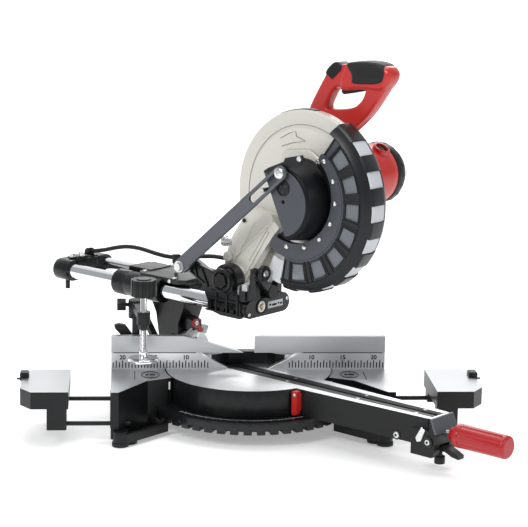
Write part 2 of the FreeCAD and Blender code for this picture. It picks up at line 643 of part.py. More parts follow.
def lower_guard():
    """Retracting guard: near plate with windows, a rim of solid blocks and a far plate."""
    a0, a1 = LOWER_ARC
    x0, x1 = LOWER_X
    near = sector_ring(66, LOWER_R, a0, a1, x0, x0 + 4)
    near = fuse(near, sector_ring(DRUM_R + 0.6, 88, a0 - 3, a1 + 24, x0 - 2, x0 + 3))
    far = sector_ring(66, LOWER_R, a0, a1, x1 - 2.5, x1)
    rim = sector_ring(LOWER_IN, LOWER_R, a0, a1, x0 + 4, x1 - 2.5)
    step = (a1 - a0) / (2 * WINDOWS + 1)
    for i in range(WINDOWS):
        start = a0 + step * (2 * i + 1)
        rim = rim.cut(sector_ring(LOWER_IN - 2, LOWER_R + 2, start, start + step,
                                  x0 + 9, x1 - 6))
        centre = start + step / 2
        near = near.cut(sector_ring(97, 123, centre - 7.2, centre + 7.2, x0 - 1, x0 + 5))
    return fuse(near, far, rim)


def guard_windows():
    """Clear windows let into the near plate and the rim of the lower guard."""
    a0, a1 = LOWER_ARC
    x0, x1 = LOWER_X
    step = (a1 - a0) / (2 * WINDOWS + 1)
    panes = []
    for i in range(WINDOWS):
        start = a0 + step * (2 * i + 1)
        centre = start + step / 2
        panes.append(sector_ring(97, 123, centre - 7.2, centre + 7.2, x0 + 1.5, x0 + 3.5))
        panes.append(sector_ring(LOWER_IN + 0.5, LOWER_R - 1.5, start, start + step,
                                 x0 + 9, x1 - 6))
    return Part.makeCompound(panes)


def link_bar():
    """Slotted bar that turns the lower guard as the head comes down."""
    top_y, top_z = BLADE_Y - 8, BLADE_Z + 47.5
    reach = math.hypot(top_y - LINK_Y, top_z - LINK_Z)
    half = 11.0
    bar = box(0, reach, -half, half, 0, 5)
    bar = fuse(bar, cyl(half, (0, 0, 0), Z, 5), cyl(half, (reach, 0, 0), Z, 5))
    slot = fuse(box(*LINK_SLOT, -6.2, 6.2, -1, 6),
                *[cyl(6.2, (end, 0, -1), Z, 7) for end in LINK_SLOT])
    bar = bar.cut(slot)
    upper = cyl(7, (reach, 0, -5), Z, 5.5)
    pivot = fuse(cyl(3.95, (0, 0, 0), Z, 23.5), cyl(8, (0, 0, -4), Z, 4.5))
    bar = fuse(bar, upper, pivot)
    angle = math.degrees(math.atan2(top_z - LINK_Z, top_y - LINK_Y))
    place = FreeCAD.Placement(Vector(LINK_X, LINK_Y, LINK_Z), FreeCAD.Rotation(X, angle))
    bar.Placement = place.multiply(frame_to_yz())
    return bar


def frame_to_yz():
    """Placement that lays a drawing in X, Y, Z on the Y, Z, X axes."""
    matrix = FreeCAD.Matrix(0, 0, 1, 0, 1, 0, 0, 0, 0, 1, 0, 0, 0, 0, 0, 1)
    return FreeCAD.Placement(matrix)


def saw_blade():
    blade = cyl(BLADE_R - 2, (-0.9, BLADE_Y, BLADE_Z), X, 1.8)
    teeth = []
    count = 40
    for i in range(count):
        a = 360.0 / count * i
        p = [polar(CENTRE, BLADE_R - 7, a - 3.0), polar(CENTRE, BLADE_R, a),
             polar(CENTRE, BLADE_R - 7, a + 1.2)]
        teeth.append(prism(p, "x", -1.2, 1.2))
    blade = fuse(blade.cut(cyl(BLADE_R, (-2, BLADE_Y, BLADE_Z), X, 0.5)), *teeth)
    return blade.cut(cyl(15.0, (-3, BLADE_Y, BLADE_Z), X, 6))


def arbor_shaft():
    """Blade spindle with its two flanges and the left-hand bolt."""
    shaft = cyl(8.0, (-8, BLADE_Y, BLADE_Z), X, 44)
    seat = cyl(15.0, (-0.9, BLADE_Y, BLADE_Z), X, 1.8)
    flanges = [cyl(21, (-5, BLADE_Y, BLADE_Z), X, 3.8), cyl(21, (1.2, BLADE_Y, BLADE_Z), X, 4)]
    bolt = prism([polar(CENTRE, 9, 60 * i) for i in range(6)], "x", -16, -7.5)
    return fuse(shaft, seat, bolt, *flanges)


def driven_gear():
    gear = toothed(CENTRE, GEAR_TEETH, 24, 34, 0.5)
    return gear.cut(cyl(8.0, (20, BLADE_Y, BLADE_Z), X, 20))


def toothed(centre, teeth, x0, x1, phase):
    """Spur gear whose pitch radius follows from the two tooth counts and the shaft gap."""
    gap = math.hypot(MOTOR_Y - BLADE_Y, MOTOR_Z - BLADE_Z)
    module = 2 * gap / (GEAR_TEETH + PINION_TEETH)
    pitch = module * teeth / 2
    line = math.degrees(math.atan2(MOTOR_Z - BLADE_Z, MOTOR_Y - BLADE_Y))
    points = []
    for i in range(teeth):
        for part, radius in ((-0.30, pitch - 1.25 * module), (-0.09, pitch + 0.75 * module),
                             (0.09, pitch + 0.75 * module), (0.30, pitch - 1.25 * module)):
            points.append(polar(centre, radius, line + (i + phase + part) * 360.0 / teeth))
    return prism(points, "x", x0, x1)


def motor_housing():
    """Motor shell in one piece with its two brush bosses."""
    centre = (MOTOR_Y, MOTOR_Z)
    shell = cyl(MOTOR_R + 2, (62.2, *centre), X, 104)
    shell = shell.cut(cyl(MOTOR_R - 2, (66, *centre), X, 102))
    shell = shell.cut(cyl(9, (60, *centre), X, 10))
    bosses = []
    for angle in (BRUSH_ANGLE, BRUSH_ANGLE + 180):
        out = Vector(0, *polar((0, 0), 1, angle))
        start = Vector(BRUSH_X, *centre) + out * (MOTOR_R - 13)
        bosses.append(tube(13, 8.5, start, out, 20))
    return fuse(shell, *bosses).cut(cyl(MOTOR_R - 2, (66, *centre), X, 102))


def motor_end_cap():
    centre = (MOTOR_Y, MOTOR_Z)
    cap = cyl(MOTOR_R + 2, (166.4, *centre), X, 36)
    cap = rounded(cap, 14, lambda e: e.CenterOfMass.x > 200 and e.Length > 200)
    cap = cap.cut(cyl(MOTOR_R - 4, (166, *centre), X, 28))
    for i in range(12):
        y, z = polar(centre, MOTOR_R - 16, 30 * i)
        cap = cap.cut(cyl(3.5, (190, y, z), X, 20))
    return cap


def armature():
    """Motor rotor: shaft, laminated core, commutator, cooling fan and pinion."""
    centre = (MOTOR_Y, MOTOR_Z)
    shaft = cyl(3.2, (23.5, *centre), X, 162)
    core = cyl(28, (84, *centre), X, 44)
    commutator = cyl(15, (134, *centre), X, 18)
    fan = cyl(38, (70, *centre), X, 8)
    pinion = toothed(centre, PINION_TEETH, 23.5, 34.5, 0.0)
    return fuse(shaft, core, commutator, fan, pinion)


HANDLE_OUTER = [(-72, 501), (-111, 569), (-122, 577), (-145, 581.5), (-159, 584), (-181, 586.7),
                (-203, 586.9), (-221, 583.5), (-228, 574), (-226, 560), (-188, 506),
                (-163, 483.5), (-152, 470), (-150, 432), (-90, 428), (-76, 480)]
HANDLE_INNER = [(-105.5, 507), (-126, 544), (-144, 540), (-186, 546), (-179, 527), (-163, 513.5),
                (-128, 507.4)]
TOP_BAR = [(-137, 541.5), (-137, 560), (-147, 582), (-159, 584), (-181, 586.7), (-203, 586.9),
           (-221, 583.5), (-228, 574), (-226, 560), (-216, 545.5), (-186, 546), (-144, 540)]
GRIP_OUTLINE = [(-160, 551), (-163, 568), (-152, 582), (-150, 594), (-219, 594), (-223, 575),
                (-219, 557)]
TRIGGER_SPACE = [(-137, 536), (-137, 560), (-200, 560), (-200, 545), (-188, 543)]
BUTTON_SPACE = [(-106, 556), (-134, 569), (-146, 594), (-96, 588)]


def grip_zone():
    """Space of the overmould: a skin over the sides and top of the bar's core."""
    core = box(BAR_X[0] + 4, BAR_X[1] - 4, -300, -100, 500, 573)
    return prism(GRIP_OUTLINE, "x", BAR_X[0] - 2, BAR_X[1] + 2).cut(core)


def handle_shell(near):
    """One half of the D handle with its foot on the gear housing."""
    bars = prism(HANDLE_OUTER, "x", HANDLE_X[0], HANDLE_X[2])
    bars = bars.cut(prism(HANDLE_INNER, "x", 0, 100))
    solid = fuse(bars, prism(TOP_BAR, "x", *BAR_X)).cut(grip_zone())
    solid = solid.cut(prism(TRIGGER_SPACE, "x", 46, 62)).cut(prism(BUTTON_SPACE, "x", 45.7, 62.3))
    solid = solid.cut(cyl(54.2, (0, BLADE_Y, BLADE_Z), X, 100))
    solid = solid.cut(cyl(MOTOR_R + 2.3, (0, MOTOR_Y, MOTOR_Z), X, 100))
    side = (20, HANDLE_X[1]) if near else (HANDLE_X[1], 90)
    return solid.common(box(*side, -260, -40, 400, 620))


def rubber_grip():
    """Soft overmould along the top of the handle."""
    return grip_zone().common(prism(TOP_BAR, "x", BAR_X[0] - 1, BAR_X[1] + 1))


def trigger():
    side = [(-140, 532.5), (-156, 536), (-182, 541.5), (-197, 548), (-197, 555), (-140, 555)]
    return prism(side, "x", 47, 61)


def lock_off_button():
    side = [(-108, 560.5), (-131, 571.5), (-137, 580.5), (-124, 581.5), (-110, 571)]
    return prism(side, "x", 46, 62)


def torsion_spring():
    """Return spring coiled round the chop pivot, drawn as its envelope."""
    return tube(19, 11, (-49.5, PIVOT_Y, PIVOT_Z), X, 19)


# ---- internal flex ------------------------------------------------------
FLEX_R = 3.5
FLEX_ROUTE = [(15, 372, 219), (14, 345, 224), (13, 316, 233), (13, 286, 240), (13, 254, 241),
              (13, 222, 237.5), (13, 190, 236), (14, 158, 239), (18, 126, 246), (29, 94, 249),
              (43, 68, 242), (49, 46, 229)]


def flex_tube(route, radius):
    """Tube of straight runs joined by tangent arcs as large as the runs allow."""
    points = [Vector(*p) for p in route]
    edges = []
    start = points[0]
    for before, corner, after in zip(points, points[1:], points[2:]):
        a = (before - corner)
        b = (after - corner)
        run = min(a.Length, b.Length)
        a.normalize()
        b.normalize()
        turn = math.pi - a.getAngle(b)
        bend = 0.45 * run / math.tan(turn / 2)
        back = 0.45 * run
        middle = a + b
        middle.normalize()
        to_centre = math.hypot(bend, back)
        p0, p1 = corner + a * back, corner + b * back
        mid = corner + middle * (to_centre - bend)
        edges.append(Part.LineSegment(start, p0).toShape())
        edges.append(Part.Arc(p0, mid, p1).toShape())
        start = p1
        print("flex bend radius %.0f" % bend)
    edges.append(Part.LineSegment(start, points[-1]).toShape())
    path = Part.Wire(edges)
    direction = points[1] - points[0]
    circle = Part.Wire(Part.makeCircle(radius, points[0], direction))
    solid = path.makePipeShell([circle], True, False)
    print("flex length %.0f, volume ratio %.4f"
          % (path.Length, solid.Volume / (path.Length * math.pi * radius ** 2)))
    return solid


def flex_fittings():
    """Cable gland on the front bracket and clip on the rear yoke."""
    front = Vector(*FLEX_ROUTE[-1])
    inward = (front - Vector(*FLEX_ROUTE[-2])).normalize()
    gland = Part.makeCylinder(6, 22, front, inward).cut(box(30, 70, -10, 32, 180, 260))
    rear = Vector(*FLEX_ROUTE[0])
    outward = (rear - Vector(*FLEX_ROUTE[1])).normalize()
    clip = fuse(Part.makeCylinder(6, 12, rear, outward), box(9, 21, 374, 384, 205, 219))
    return Part.makeCompound([gland, clip.cut(box(0, 30, 350, 400, 190, RAIL_Z + 17.5))])


# ---- build --------------------------------------------------------------
def main():
    os.makedirs("parts", exist_ok=True)
    fixed = {
        "base_casting": base_casting(), "miter_scale_ring": miter_scale_ring(),
        "fixed_fence": fixed_fence(), "base_feet": base_feet(), "clamp_post": clamp_post(),
        "miter_pivot_bolt": miter_pivot_bolt(), "left_upper_fence": upper_fence(-1),
        "right_upper_fence": upper_fence(1), "left_fence_lock": fence_lock(-1),
        "right_fence_lock": fence_lock(1), "left_wing": wing_table(),
        "left_wing_rods": wing_rods(), "left_flip_stop": flip_stop(),
        "right_wing": mirror_x(wing_table()), "right_wing_rods": mirror_x(wing_rods()),
        "right_flip_stop": mirror_x(flip_stop()), "left_wing_lock": wing_lock(-1),
        "right_wing_lock": wing_lock(1), "clamp_bracket": clamp_bracket(),
        "clamp_lock_knob": clamp_lock_knob(), "clamp_screw": clamp_screw(),
        "clamp_knob": clamp_knob(),
    }
    turned = {
        "turntable": turntable(), "kerf_plates": kerf_plates(),
        "angle_pointer": angle_pointer(),
        "front_foot": front_foot(), "miter_lock_rod": miter_lock_rod(),
        "miter_lock_handle": miter_lock_handle(), "detent_lever": detent_lever(),
        "bevel_neck": bevel_neck(), "carriage": carriage(), "linear_bushings": linear_bushings(),
        "bevel_pivot_bolt": bevel_pivot_bolt(), "bevel_lock_lever": bevel_lock_lever(),
        "slide_lock_knob": slide_lock_knob(), "slide_rails": slide_rails(),
        "rear_yoke": rear_yoke(), "front_bracket": front_bracket(),
        "head_pivot_shaft": head_pivot_shaft(), "depth_stop": depth_stop(),
        "saw_arm": saw_arm(), "upper_guard": upper_guard(), "arbor_cover": arbor_cover(),
        "lower_guard": lower_guard(), "guard_windows": guard_windows(), "link_bar": link_bar(),
        "saw_blade": saw_blade(), "arbor_shaft": arbor_shaft(),
        "driven_gear": driven_gear(), "motor_housing": motor_housing(),
        "motor_end_cap": motor_end_cap(), "armature": armature(),
        "handle_near_shell": handle_shell(near=True),
        "handle_far_shell": handle_shell(near=False),
        "rubber_grip": rubber_grip(), "trigger": trigger(),
        "lock_off_button": lock_off_button(), "torsion_spring": torsion_spring(),
        "power_flex": flex_tube(FLEX_ROUTE, FLEX_R), "flex_fittings": flex_fittings(),
    }
    for name, shape in fixed.items():
        save(name, shape, turned=False)
    for name, shape in turned.items():
        save(name, shape)


main()
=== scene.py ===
import bmesh
import bpy
import math
from mathutils import Matrix, Vector


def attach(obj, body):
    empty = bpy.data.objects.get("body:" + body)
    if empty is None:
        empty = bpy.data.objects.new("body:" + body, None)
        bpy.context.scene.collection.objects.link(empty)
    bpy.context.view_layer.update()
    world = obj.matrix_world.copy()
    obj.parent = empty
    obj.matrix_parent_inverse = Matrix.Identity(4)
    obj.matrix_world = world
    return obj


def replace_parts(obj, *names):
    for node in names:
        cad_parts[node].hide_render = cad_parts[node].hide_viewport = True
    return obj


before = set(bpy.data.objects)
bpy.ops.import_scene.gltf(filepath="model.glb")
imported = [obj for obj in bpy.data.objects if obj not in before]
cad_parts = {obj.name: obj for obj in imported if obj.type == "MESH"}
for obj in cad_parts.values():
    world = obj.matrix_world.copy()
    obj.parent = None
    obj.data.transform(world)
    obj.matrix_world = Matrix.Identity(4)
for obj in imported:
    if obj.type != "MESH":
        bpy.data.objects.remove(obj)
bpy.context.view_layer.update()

# Lengths are millimetres, apart from the camera, lamps and floor, which are in metres. Pieces that
# turn with the mitre table are drawn in the saw frame (blade plane = YZ, front = -Y) and turned
# with it. PLAIN pieces are drawn in the frame of the base.
MM = 0.001
TURNED = Matrix.Rotation(math.radians(45), 4, "Z")
PLAIN = Matrix.Identity(4)
BLADE = (-118.0, 376.0)
PIVOT = (7.0, 236.0)
MOTOR = (-108.0, 394.0)
TABLE_Z = 84.0
TABLE_HALF = 218.0          # half length of the fixed tables
RAIL_X, RAIL_Z = 38.0, 194.0
CLAMP_SCREW = (-168, -60)
PLUG = (-16, 195)           # plug on the front bracket, seen from the front
STOP_DISC = (-51, 258.5)
LOCK_PIN = (-22, 290)
DRUM_BOSS = (-126, 400)
FIRST_TICK, LAST_TICK = 13, 43      # fence ticks, counted in steps of 5 mm from the blade line
OVALS = (("left", -156.5), ("right", 157.2))    # badge places on the two tables

# The lower guard: the angles it spans, its clear windows, and its near and far faces.
ARC = (125.0, 281.0)
WINDOWS = 7
STEP = (ARC[1] - ARC[0]) / (2 * WINDOWS + 1)
NEAR, FAR = -35.0, 10.0
MIDDLES = [ARC[0] + STEP * (2 * i + 1.5) for i in range(WINDOWS)]
HALF_WINDOW = 6.6           # degrees
WINDOW_LOW, WINDOW_HIGH = 97, 123

# Camera: where it looks from, how far it stands off and how much it rolls.
VIEW_AZIMUTH, VIEW_ELEVATION, VIEW_ROLL = -4.301, 11.866, 1.068
VIEW_DISTANCE, VIEW_LENS = 3.0428, 131.82
VIEW_SHIFT, VIEW_HEIGHT = 0.0215, 0.256


# ---- materials ----------------------------------------------------------
def fill(target, values):
    """Sets several inputs of a shader node by name."""
    for name, value in values.items():
        target.inputs[name].default_value = value


def shader(name, color, rough=0.4, metal=0.0, coat=0.0, grain=0.15, scale=60.0, bump=0.02,
           stretch=(1, 1, 1), shine=0.5):
    """Principled material whose roughness and surface carry a little procedural grain."""
    made = bpy.data.materials.new(name)
    made.use_nodes = True
    nodes, links = made.node_tree.nodes, made.node_tree.links
    base = nodes["Principled BSDF"]
    fill(base, {"Base Color": (*color, 1), "Metallic": metal, "Roughness": rough,
                "Specular IOR Level": shine, "Coat Weight": coat, "Coat Roughness": 0.12})
    where = nodes.new("ShaderNodeTexCoord")
    spread = nodes.new("ShaderNodeMapping")
    spread.inputs["Scale"].default_value = stretch
    noise = nodes.new("ShaderNodeTexNoise")
    fill(noise, {"Scale": scale, "Detail": 5.0})
    links.new(where.outputs["Object"], spread.inputs["Vector"])
    links.new(spread.outputs["Vector"], noise.inputs["Vector"])
    span = nodes.new("ShaderNodeMapRange")
    fill(span, {"To Min": max(0.02, rough - grain), "To Max": min(1.0, rough + grain)})
    links.new(noise.outputs["Fac"], span.inputs["Value"])
    links.new(span.outputs["Result"], base.inputs["Roughness"])
    relief = nodes.new("ShaderNodeBump")
    fill(relief, {"Strength": bump, "Distance": 0.001})
    links.new(noise.outputs["Fac"], relief.inputs["Height"])
    links.new(relief.outputs["Normal"], base.inputs["Normal"])
    return made


def machined_faces(name, metal_color, axis="Z", level=83.75, above=True):
    """Black casting whose faces beyond a level along one axis are bare machined aluminium."""
    made = shader(name, PAINT, rough=0.32, grain=0.08, scale=350, bump=0.05, shine=0.28)
    nodes, links = made.node_tree.nodes, made.node_tree.links
    base = nodes["Principled BSDF"]
    where = nodes.new("ShaderNodeTexCoord")
    split = nodes.new("ShaderNodeSeparateXYZ")
    links.new(where.outputs["Object"], split.inputs["Vector"])
    bare = nodes.new("ShaderNodeMath")
    bare.operation = "GREATER_THAN" if above else "LESS_THAN"
    bare.inputs[1].default_value = level * MM
    links.new(split.outputs[axis], bare.inputs[0])
    mix = nodes.new("ShaderNodeMix")
    mix.data_type = "RGBA"
    fill(mix, {"A": (*PAINT, 1), "B": (*metal_color, 1)})
    links.new(bare.outputs["Value"], mix.inputs["Factor"])
    links.new(mix.outputs["Result"], base.inputs["Base Color"])
    links.new(bare.outputs["Value"], base.inputs["Metallic"])
    return made


def clear(name, color, rough, through, alpha):
    """Clear or smoked window plastic."""
    made = bpy.data.materials.new(name)
    made.use_nodes = True
    base = made.node_tree.nodes["Principled BSDF"]
    fill(base, {"Base Color": (*color, 1), "Roughness": rough, "Transmission Weight": through,
                "IOR": 1.2, "Alpha": alpha})
    return made


PAINT = (0.007, 0.0074, 0.0082)
CAST = shader("cast_black", PAINT, rough=0.3, coat=0.1, grain=0.08, scale=350,
              bump=0.08, shine=0.35)
BLACK = shader("plastic_black", (0.01, 0.01, 0.011), rough=0.38, grain=0.1, scale=500, bump=0.05,
               shine=0.3)
GLOSS = shader("plastic_gloss", (0.004, 0.0045, 0.006), rough=0.42, grain=0.03, shine=0.18)
SOFT = shader("rubber_black", (0.014, 0.014, 0.015), rough=0.55, scale=900, bump=0.12, shine=0.3)
# Dark guard plastic painted a lighter grey for the near faces that catch the sky: painted
# reflection. The far faces use the dark copy.
SHEEN_GREY = shader("guard_painted_sheen_grey", (0.055, 0.062, 0.074), rough=0.36, grain=0.06, scale=500, bump=0.05,
              shine=0.4)
DARK = shader("guard_dark", (0.01, 0.011, 0.013), rough=0.34, grain=0.06, scale=500, bump=0.05,
              shine=0.3)
LINK = shader("link_grey", (0.1, 0.11, 0.125), rough=0.35, metal=0.4, grain=0.08, scale=200)
CREAM = shader("paint_cream", (0.66, 0.645, 0.585), rough=0.33, metal=0.15, coat=0.3, grain=0.06,
               scale=420, bump=0.1)
CREAM_LINE = shader("paint_cream_shadow", (0.2, 0.19, 0.16), rough=0.5)
RED = shader("plastic_red", (0.5, 0.018, 0.014), rough=0.3, coat=0.25, grain=0.05, scale=300,
             shine=0.4)
RED_GRIP = shader("grip_red", (0.4, 0.008, 0.012), rough=0.36, coat=0.05, grain=0.08, scale=300)
CHROME = shader("chrome", (0.86, 0.87, 0.88), rough=0.09, metal=1.0, grain=0.03, scale=30)
STEEL = shader("steel", (0.6, 0.6, 0.6), rough=0.3, metal=1.0, grain=0.1, scale=200)
ZINC = shader("zinc", (0.72, 0.73, 0.72), rough=0.28, metal=1.0, grain=0.1, scale=250)
SILVER = shader("machined", (0.5, 0.51, 0.52), rough=0.34, metal=0.85, grain=0.05, scale=40,
                bump=0.01, stretch=(1, 1, 12))
TOPPED = machined_faces("cast_machined_top", (0.6, 0.61, 0.62))
FENCE = machined_faces("fence_faced", (0.74, 0.75, 0.76), "Y", 12.6, above=False)
BRASS = shader("bronze", (0.5, 0.34, 0.14), rough=0.35, metal=1.0)
# Flat black for print, and also for the painted shadow strip in the fence gap.
INK_AND_SHADE = shader("ink_and_shadow_black", (0.004, 0.004, 0.004), rough=0.7, shine=0.15)
CHALK = shader("ink_white", (0.75, 0.75, 0.75), rough=0.6)
LABEL = shader("label_silver", (0.5, 0.52, 0.53), rough=0.4, metal=0.3)
SMOKE = clear("window_smoke", (0.3, 0.33, 0.36), 0.14, 0.45, 0.9)
PANE = clear("window_clear", (0.78, 0.81, 0.84), 0.12, 0.3, 0.88)


# ---- drawing helpers ----------------------------------------------------
def add_object(name, data):
    """Adds a mesh, curve, lamp or camera to the scene."""
    obj = bpy.data.objects.new(name, data)
    bpy.context.collection.objects.link(obj)
    return obj


def soften_edges(obj, width):
    """Small bevel on the sharp edges of a piece."""
    soften = obj.modifiers.new("edges", "BEVEL")
    soften.width = width * MM
    soften.segments = 2
    soften.limit_method = "ANGLE"
    soften.angle_limit = math.radians(38)
    soften.harden_normals = True


def settle(obj, material, body, bevel=0.0):
    """Finishes a piece that rides on a body: its material, softened edges and shading."""
    if not obj.data.materials:
        obj.data.materials.append(material)
    if bevel:
        soften_edges(obj, bevel)
    obj.data.shade_smooth()
    obj.data.set_sharp_from_angle(angle=math.radians(40))
    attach(obj, body)
    return obj


class Draft:
    """Collects solids in millimetres and turns them into one piece."""

    def __init__(self, frame_matrix=TURNED):
        self.verts, self.faces, self.matrix = [], [], frame_matrix

    def add(self, verts, faces):
        """Takes one solid, given by its corners and its faces."""
        start = len(self.verts)
        self.verts += verts
        self.faces += [tuple(start + i for i in face) for face in faces]
        return self

    def box(self, x0, x1, y0, y1, z0, z1):
        """Block between two limits on each axis."""
        verts = [(x, y, z) for x in (x0, x1) for y in (y0, y1) for z in (z0, z1)]
        faces = [(0, 1, 3, 2), (4, 6, 7, 5), (0, 4, 5, 1), (2, 3, 7, 6), (0, 2, 6, 4), (1, 5, 7, 3)]
        return self.add(verts, faces)

    def prism(self, plane, outline, low, high):
        """Outline across one axis, carried from low to high along it."""
        place = {"x": lambda a, b, c: (c, a, b), "y": lambda a, b, c: (a, c, b),
                 "z": lambda a, b, c: (a, b, c)}[plane]
        n = len(outline)
        verts = [place(a, b, low) for a, b in outline] + [place(a, b, high) for a, b in outline]
        faces = [tuple(range(n)), tuple(range(n, 2 * n))]
        faces += [(i, (i + 1) % n, n + (i + 1) % n, n + i) for i in range(n)]
        return self.add(verts, faces)

    def spin(self, axis, centre, profile, steps=48, start=0.0, end=360.0, closed=False):
        """Turns (along, radius) points about an axis; a closed profile may turn part of the way."""
        full = abs(end - start) >= 360.0
        count = steps if full else steps + 1
        a0, b0 = centre
        verts = []
        for i in range(count):
            angle = math.radians(start + (end - start) * i / steps)
            for t, r in profile:
                a, b = a0 + r * math.cos(angle), b0 + r * math.sin(angle)
                verts.append({"x": (t, a, b), "y": (a, t, b), "z": (a, b, t)}[axis])
        n = len(profile)
        faces = []
        for i in range(steps):
            j = (i + 1) % count
            for k in range(n if closed else n - 1):
                m = (k + 1) % n
                faces.append((i * n + k, i * n + m, j * n + m, j * n + k))
        if closed and not full:
            faces += [tuple(range(n)), tuple(range((count - 1) * n, count * n))]
        return self.add(verts, faces)

    def rod(self, axis, centre, t0, t1, r, soft=0.6, steps=32):
        """Round bar with eased ends."""
        s = min(soft, r * 0.6)
        profile = [(t0, 0), (t0, r - s), (t0 + s, r), (t1 - s, r), (t1, r - s), (t1, 0)]
        return self.spin(axis, centre, profile, steps)

    def make(self, name, material, body, bevel=0.0):
        """Turns all the solids into one named piece on a body."""
        mesh = bpy.data.meshes.new(name)
        verts = [tuple(self.matrix @ (Vector(v) * MM)) for v in self.verts]
        mesh.from_pydata(verts, [], self.faces)
        work = bmesh.new()
        work.from_mesh(mesh)
        bmesh.ops.remove_doubles(work, verts=work.verts, dist=1e-6)
        bmesh.ops.recalc_face_normals(work, faces=work.faces)
        work.to_mesh(mesh)
        work.free()
        return settle(add_object(name, mesh), material, body, bevel)


def extruded(name, plane, outline, low, high, material, body, bevel=0.0, matrix=TURNED):
    """One piece with a single outline carried straight across."""
    return Draft(matrix).prism(plane, outline, low, high).make(name, material, body, bevel)


def turned(name, axis, centre, profile, steps, material, body):
    """One piece with a single profile turned all the way round."""
    return Draft().spin(axis, centre, profile, steps).make(name, material, body)


def thread(name, centre, foot, pitch, turns, radii, material, body, matrix=TURNED):
    """Upright screw thread drawn as rings, between its core radius and its crest radius."""
    draft = Draft(matrix)
    core, crest = radii
    for k in range(turns):
        z = foot + pitch * k
        draft.spin("z", centre, [(z, core), (z + pitch / 2, crest), (z + pitch, core)], 20)
    draft.make(name, material, body)


def mesh_of(curve):
    """The filled mesh of a curve or of a line of text."""
    holder = add_object(curve.name + ".holder", curve)
    bpy.context.view_layer.update()
    mesh = bpy.data.meshes.new_from_object(holder.evaluated_get(
        bpy.context.evaluated_depsgraph_get()))
    bpy.data.objects.remove(holder)
    mesh.materials.clear()
    return mesh


def plate(name, plane, loops, low, high, material, body, edge=0.8, matrix=TURNED, cut=None):
    """Flat plate with rounded edges: the first loop is the outline and the rest are holes."""
    curve = bpy.data.curves.new(name, "CURVE")
    curve.dimensions = "2D"
    curve.fill_mode = "BOTH"
    curve.extrude = max(0.0, ((high - low) / 2 - edge)) * MM
    curve.bevel_depth = edge * MM
    curve.bevel_resolution = 2
    curve.offset = -edge * MM
    for loop in loops:
        spline = curve.splines.new("POLY")
        spline.points.add(len(loop) - 1)
        for point, (a, b) in zip(spline.points, loop):
            point.co = (a * MM, b * MM, 0, 1)
        spline.use_cyclic_u = True
    mesh = mesh_of(curve)
    middle = (low + high) / 2 * MM
    lay = {"x": Matrix(((0, 0, 1, middle), (1, 0, 0, 0), (0, 1, 0, 0), (0, 0, 0, 1))),
           "z": Matrix.Translation((0, 0, middle)),
           "y": Matrix(((1, 0, 0, 0), (0, 0, -1, middle), (0, 1, 0, 0), (0, 0, 0, 1)))}[plane]
    mesh.transform(matrix @ lay)
    if cut:
        slice_mesh(mesh, matrix, *cut)
    return settle(add_object(name, mesh), material, body)


def slice_mesh(mesh, matrix, x, keep_low):
    """Keeps the part of a mesh on one side of the plane at x in the given frame."""
    work = bmesh.new()
    work.from_mesh(mesh)
    normal = (matrix.to_3x3() @ Vector((1, 0, 0))).normalized()
    found = bmesh.ops.bisect_plane(work, geom=work.verts[:] + work.edges[:] + work.faces[:],
                                   plane_co=matrix @ Vector((x * MM, 0, 0)), plane_no=normal,
                                   clear_outer=keep_low, clear_inner=not keep_low)
    rim = [g for g in found["geom_cut"] if isinstance(g, bmesh.types.BMEdge)]
    bmesh.ops.triangle_fill(work, edges=rim, use_beauty=True)
    work.to_mesh(mesh)
    work.free()


def strip(name, points, radius, material, body, matrix=TURNED, cyclic=False):
    """Thin raised or engraved line through points."""
    curve = bpy.data.curves.new(name, "CURVE")
    curve.dimensions = "3D"
    curve.bevel_depth = radius * MM
    curve.bevel_resolution = 2
    curve.use_fill_caps = True
    spline = curve.splines.new("POLY")
    spline.points.add(len(points) - 1)
    for point, place in zip(spline.points, points):
        point.co = (*(matrix @ (Vector(place) * MM)), 1)
    spline.use_cyclic_u = cyclic
    curve.materials.append(material)
    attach(add_object(name, curve), body)


def polar(centre, r, degrees):
    """Point at a radius and an angle about a centre."""
    a = math.radians(degrees)
    return (centre[0] + r * math.cos(a), centre[1] + r * math.sin(a))


def arc(centre, r, a0, a1, steps=24):
    """Points along an arc; angles are in degrees."""
    return [polar(centre, r, a0 + (a1 - a0) * i / steps) for i in range(steps + 1)]


def pie(centre, r0, r1, a0, a1, steps=24):
    """Outline of a ring sector."""
    return arc(centre, r1, a0, a1, steps) + arc(centre, r0, a1, a0, steps)


def rib(start, end, half):
    """Outline of a straight rib between two points."""
    (y0, z0), (y1, z1) = start, end
    length = math.hypot(y1 - y0, z1 - z0)
    ny, nz = -(z1 - z0) / length * half, (y1 - y0) / length * half
    return [(y0 + ny, z0 + nz), (y1 + ny, z1 + nz), (y1 - ny, z1 - nz), (y0 - ny, z0 - nz)]


def tick(centre, r0, r1, angle, half0, half1):
    """Outline of a radial mark; its half widths are in degrees."""
    return [polar(centre, r0, angle - half0), polar(centre, r1, angle - half1),
            polar(centre, r1, angle + half1), polar(centre, r0, angle + half0)]


def node(name, material, bevel=0.0):
    """Gives a CAD node its finish and softened edges."""
    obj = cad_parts[name]
    obj.data.materials.clear()
    obj.data.materials.append(material)
    if bevel:
        weld = obj.modifiers.new("weld", "WELD")
        weld.merge_threshold = 0.00001
        soften_edges(obj, bevel)


def seats_along(axis, places):
    """Splits a signed axis such as "-x", and each place into its height and its centre."""
    letter, sign = axis[1], -1 if axis[0] == "-" else 1
    seats = [{"x": (x, (y, z)), "y": (y, (x, z)), "z": (z, (x, y))}[letter] for x, y, z in places]
    return letter, sign, seats


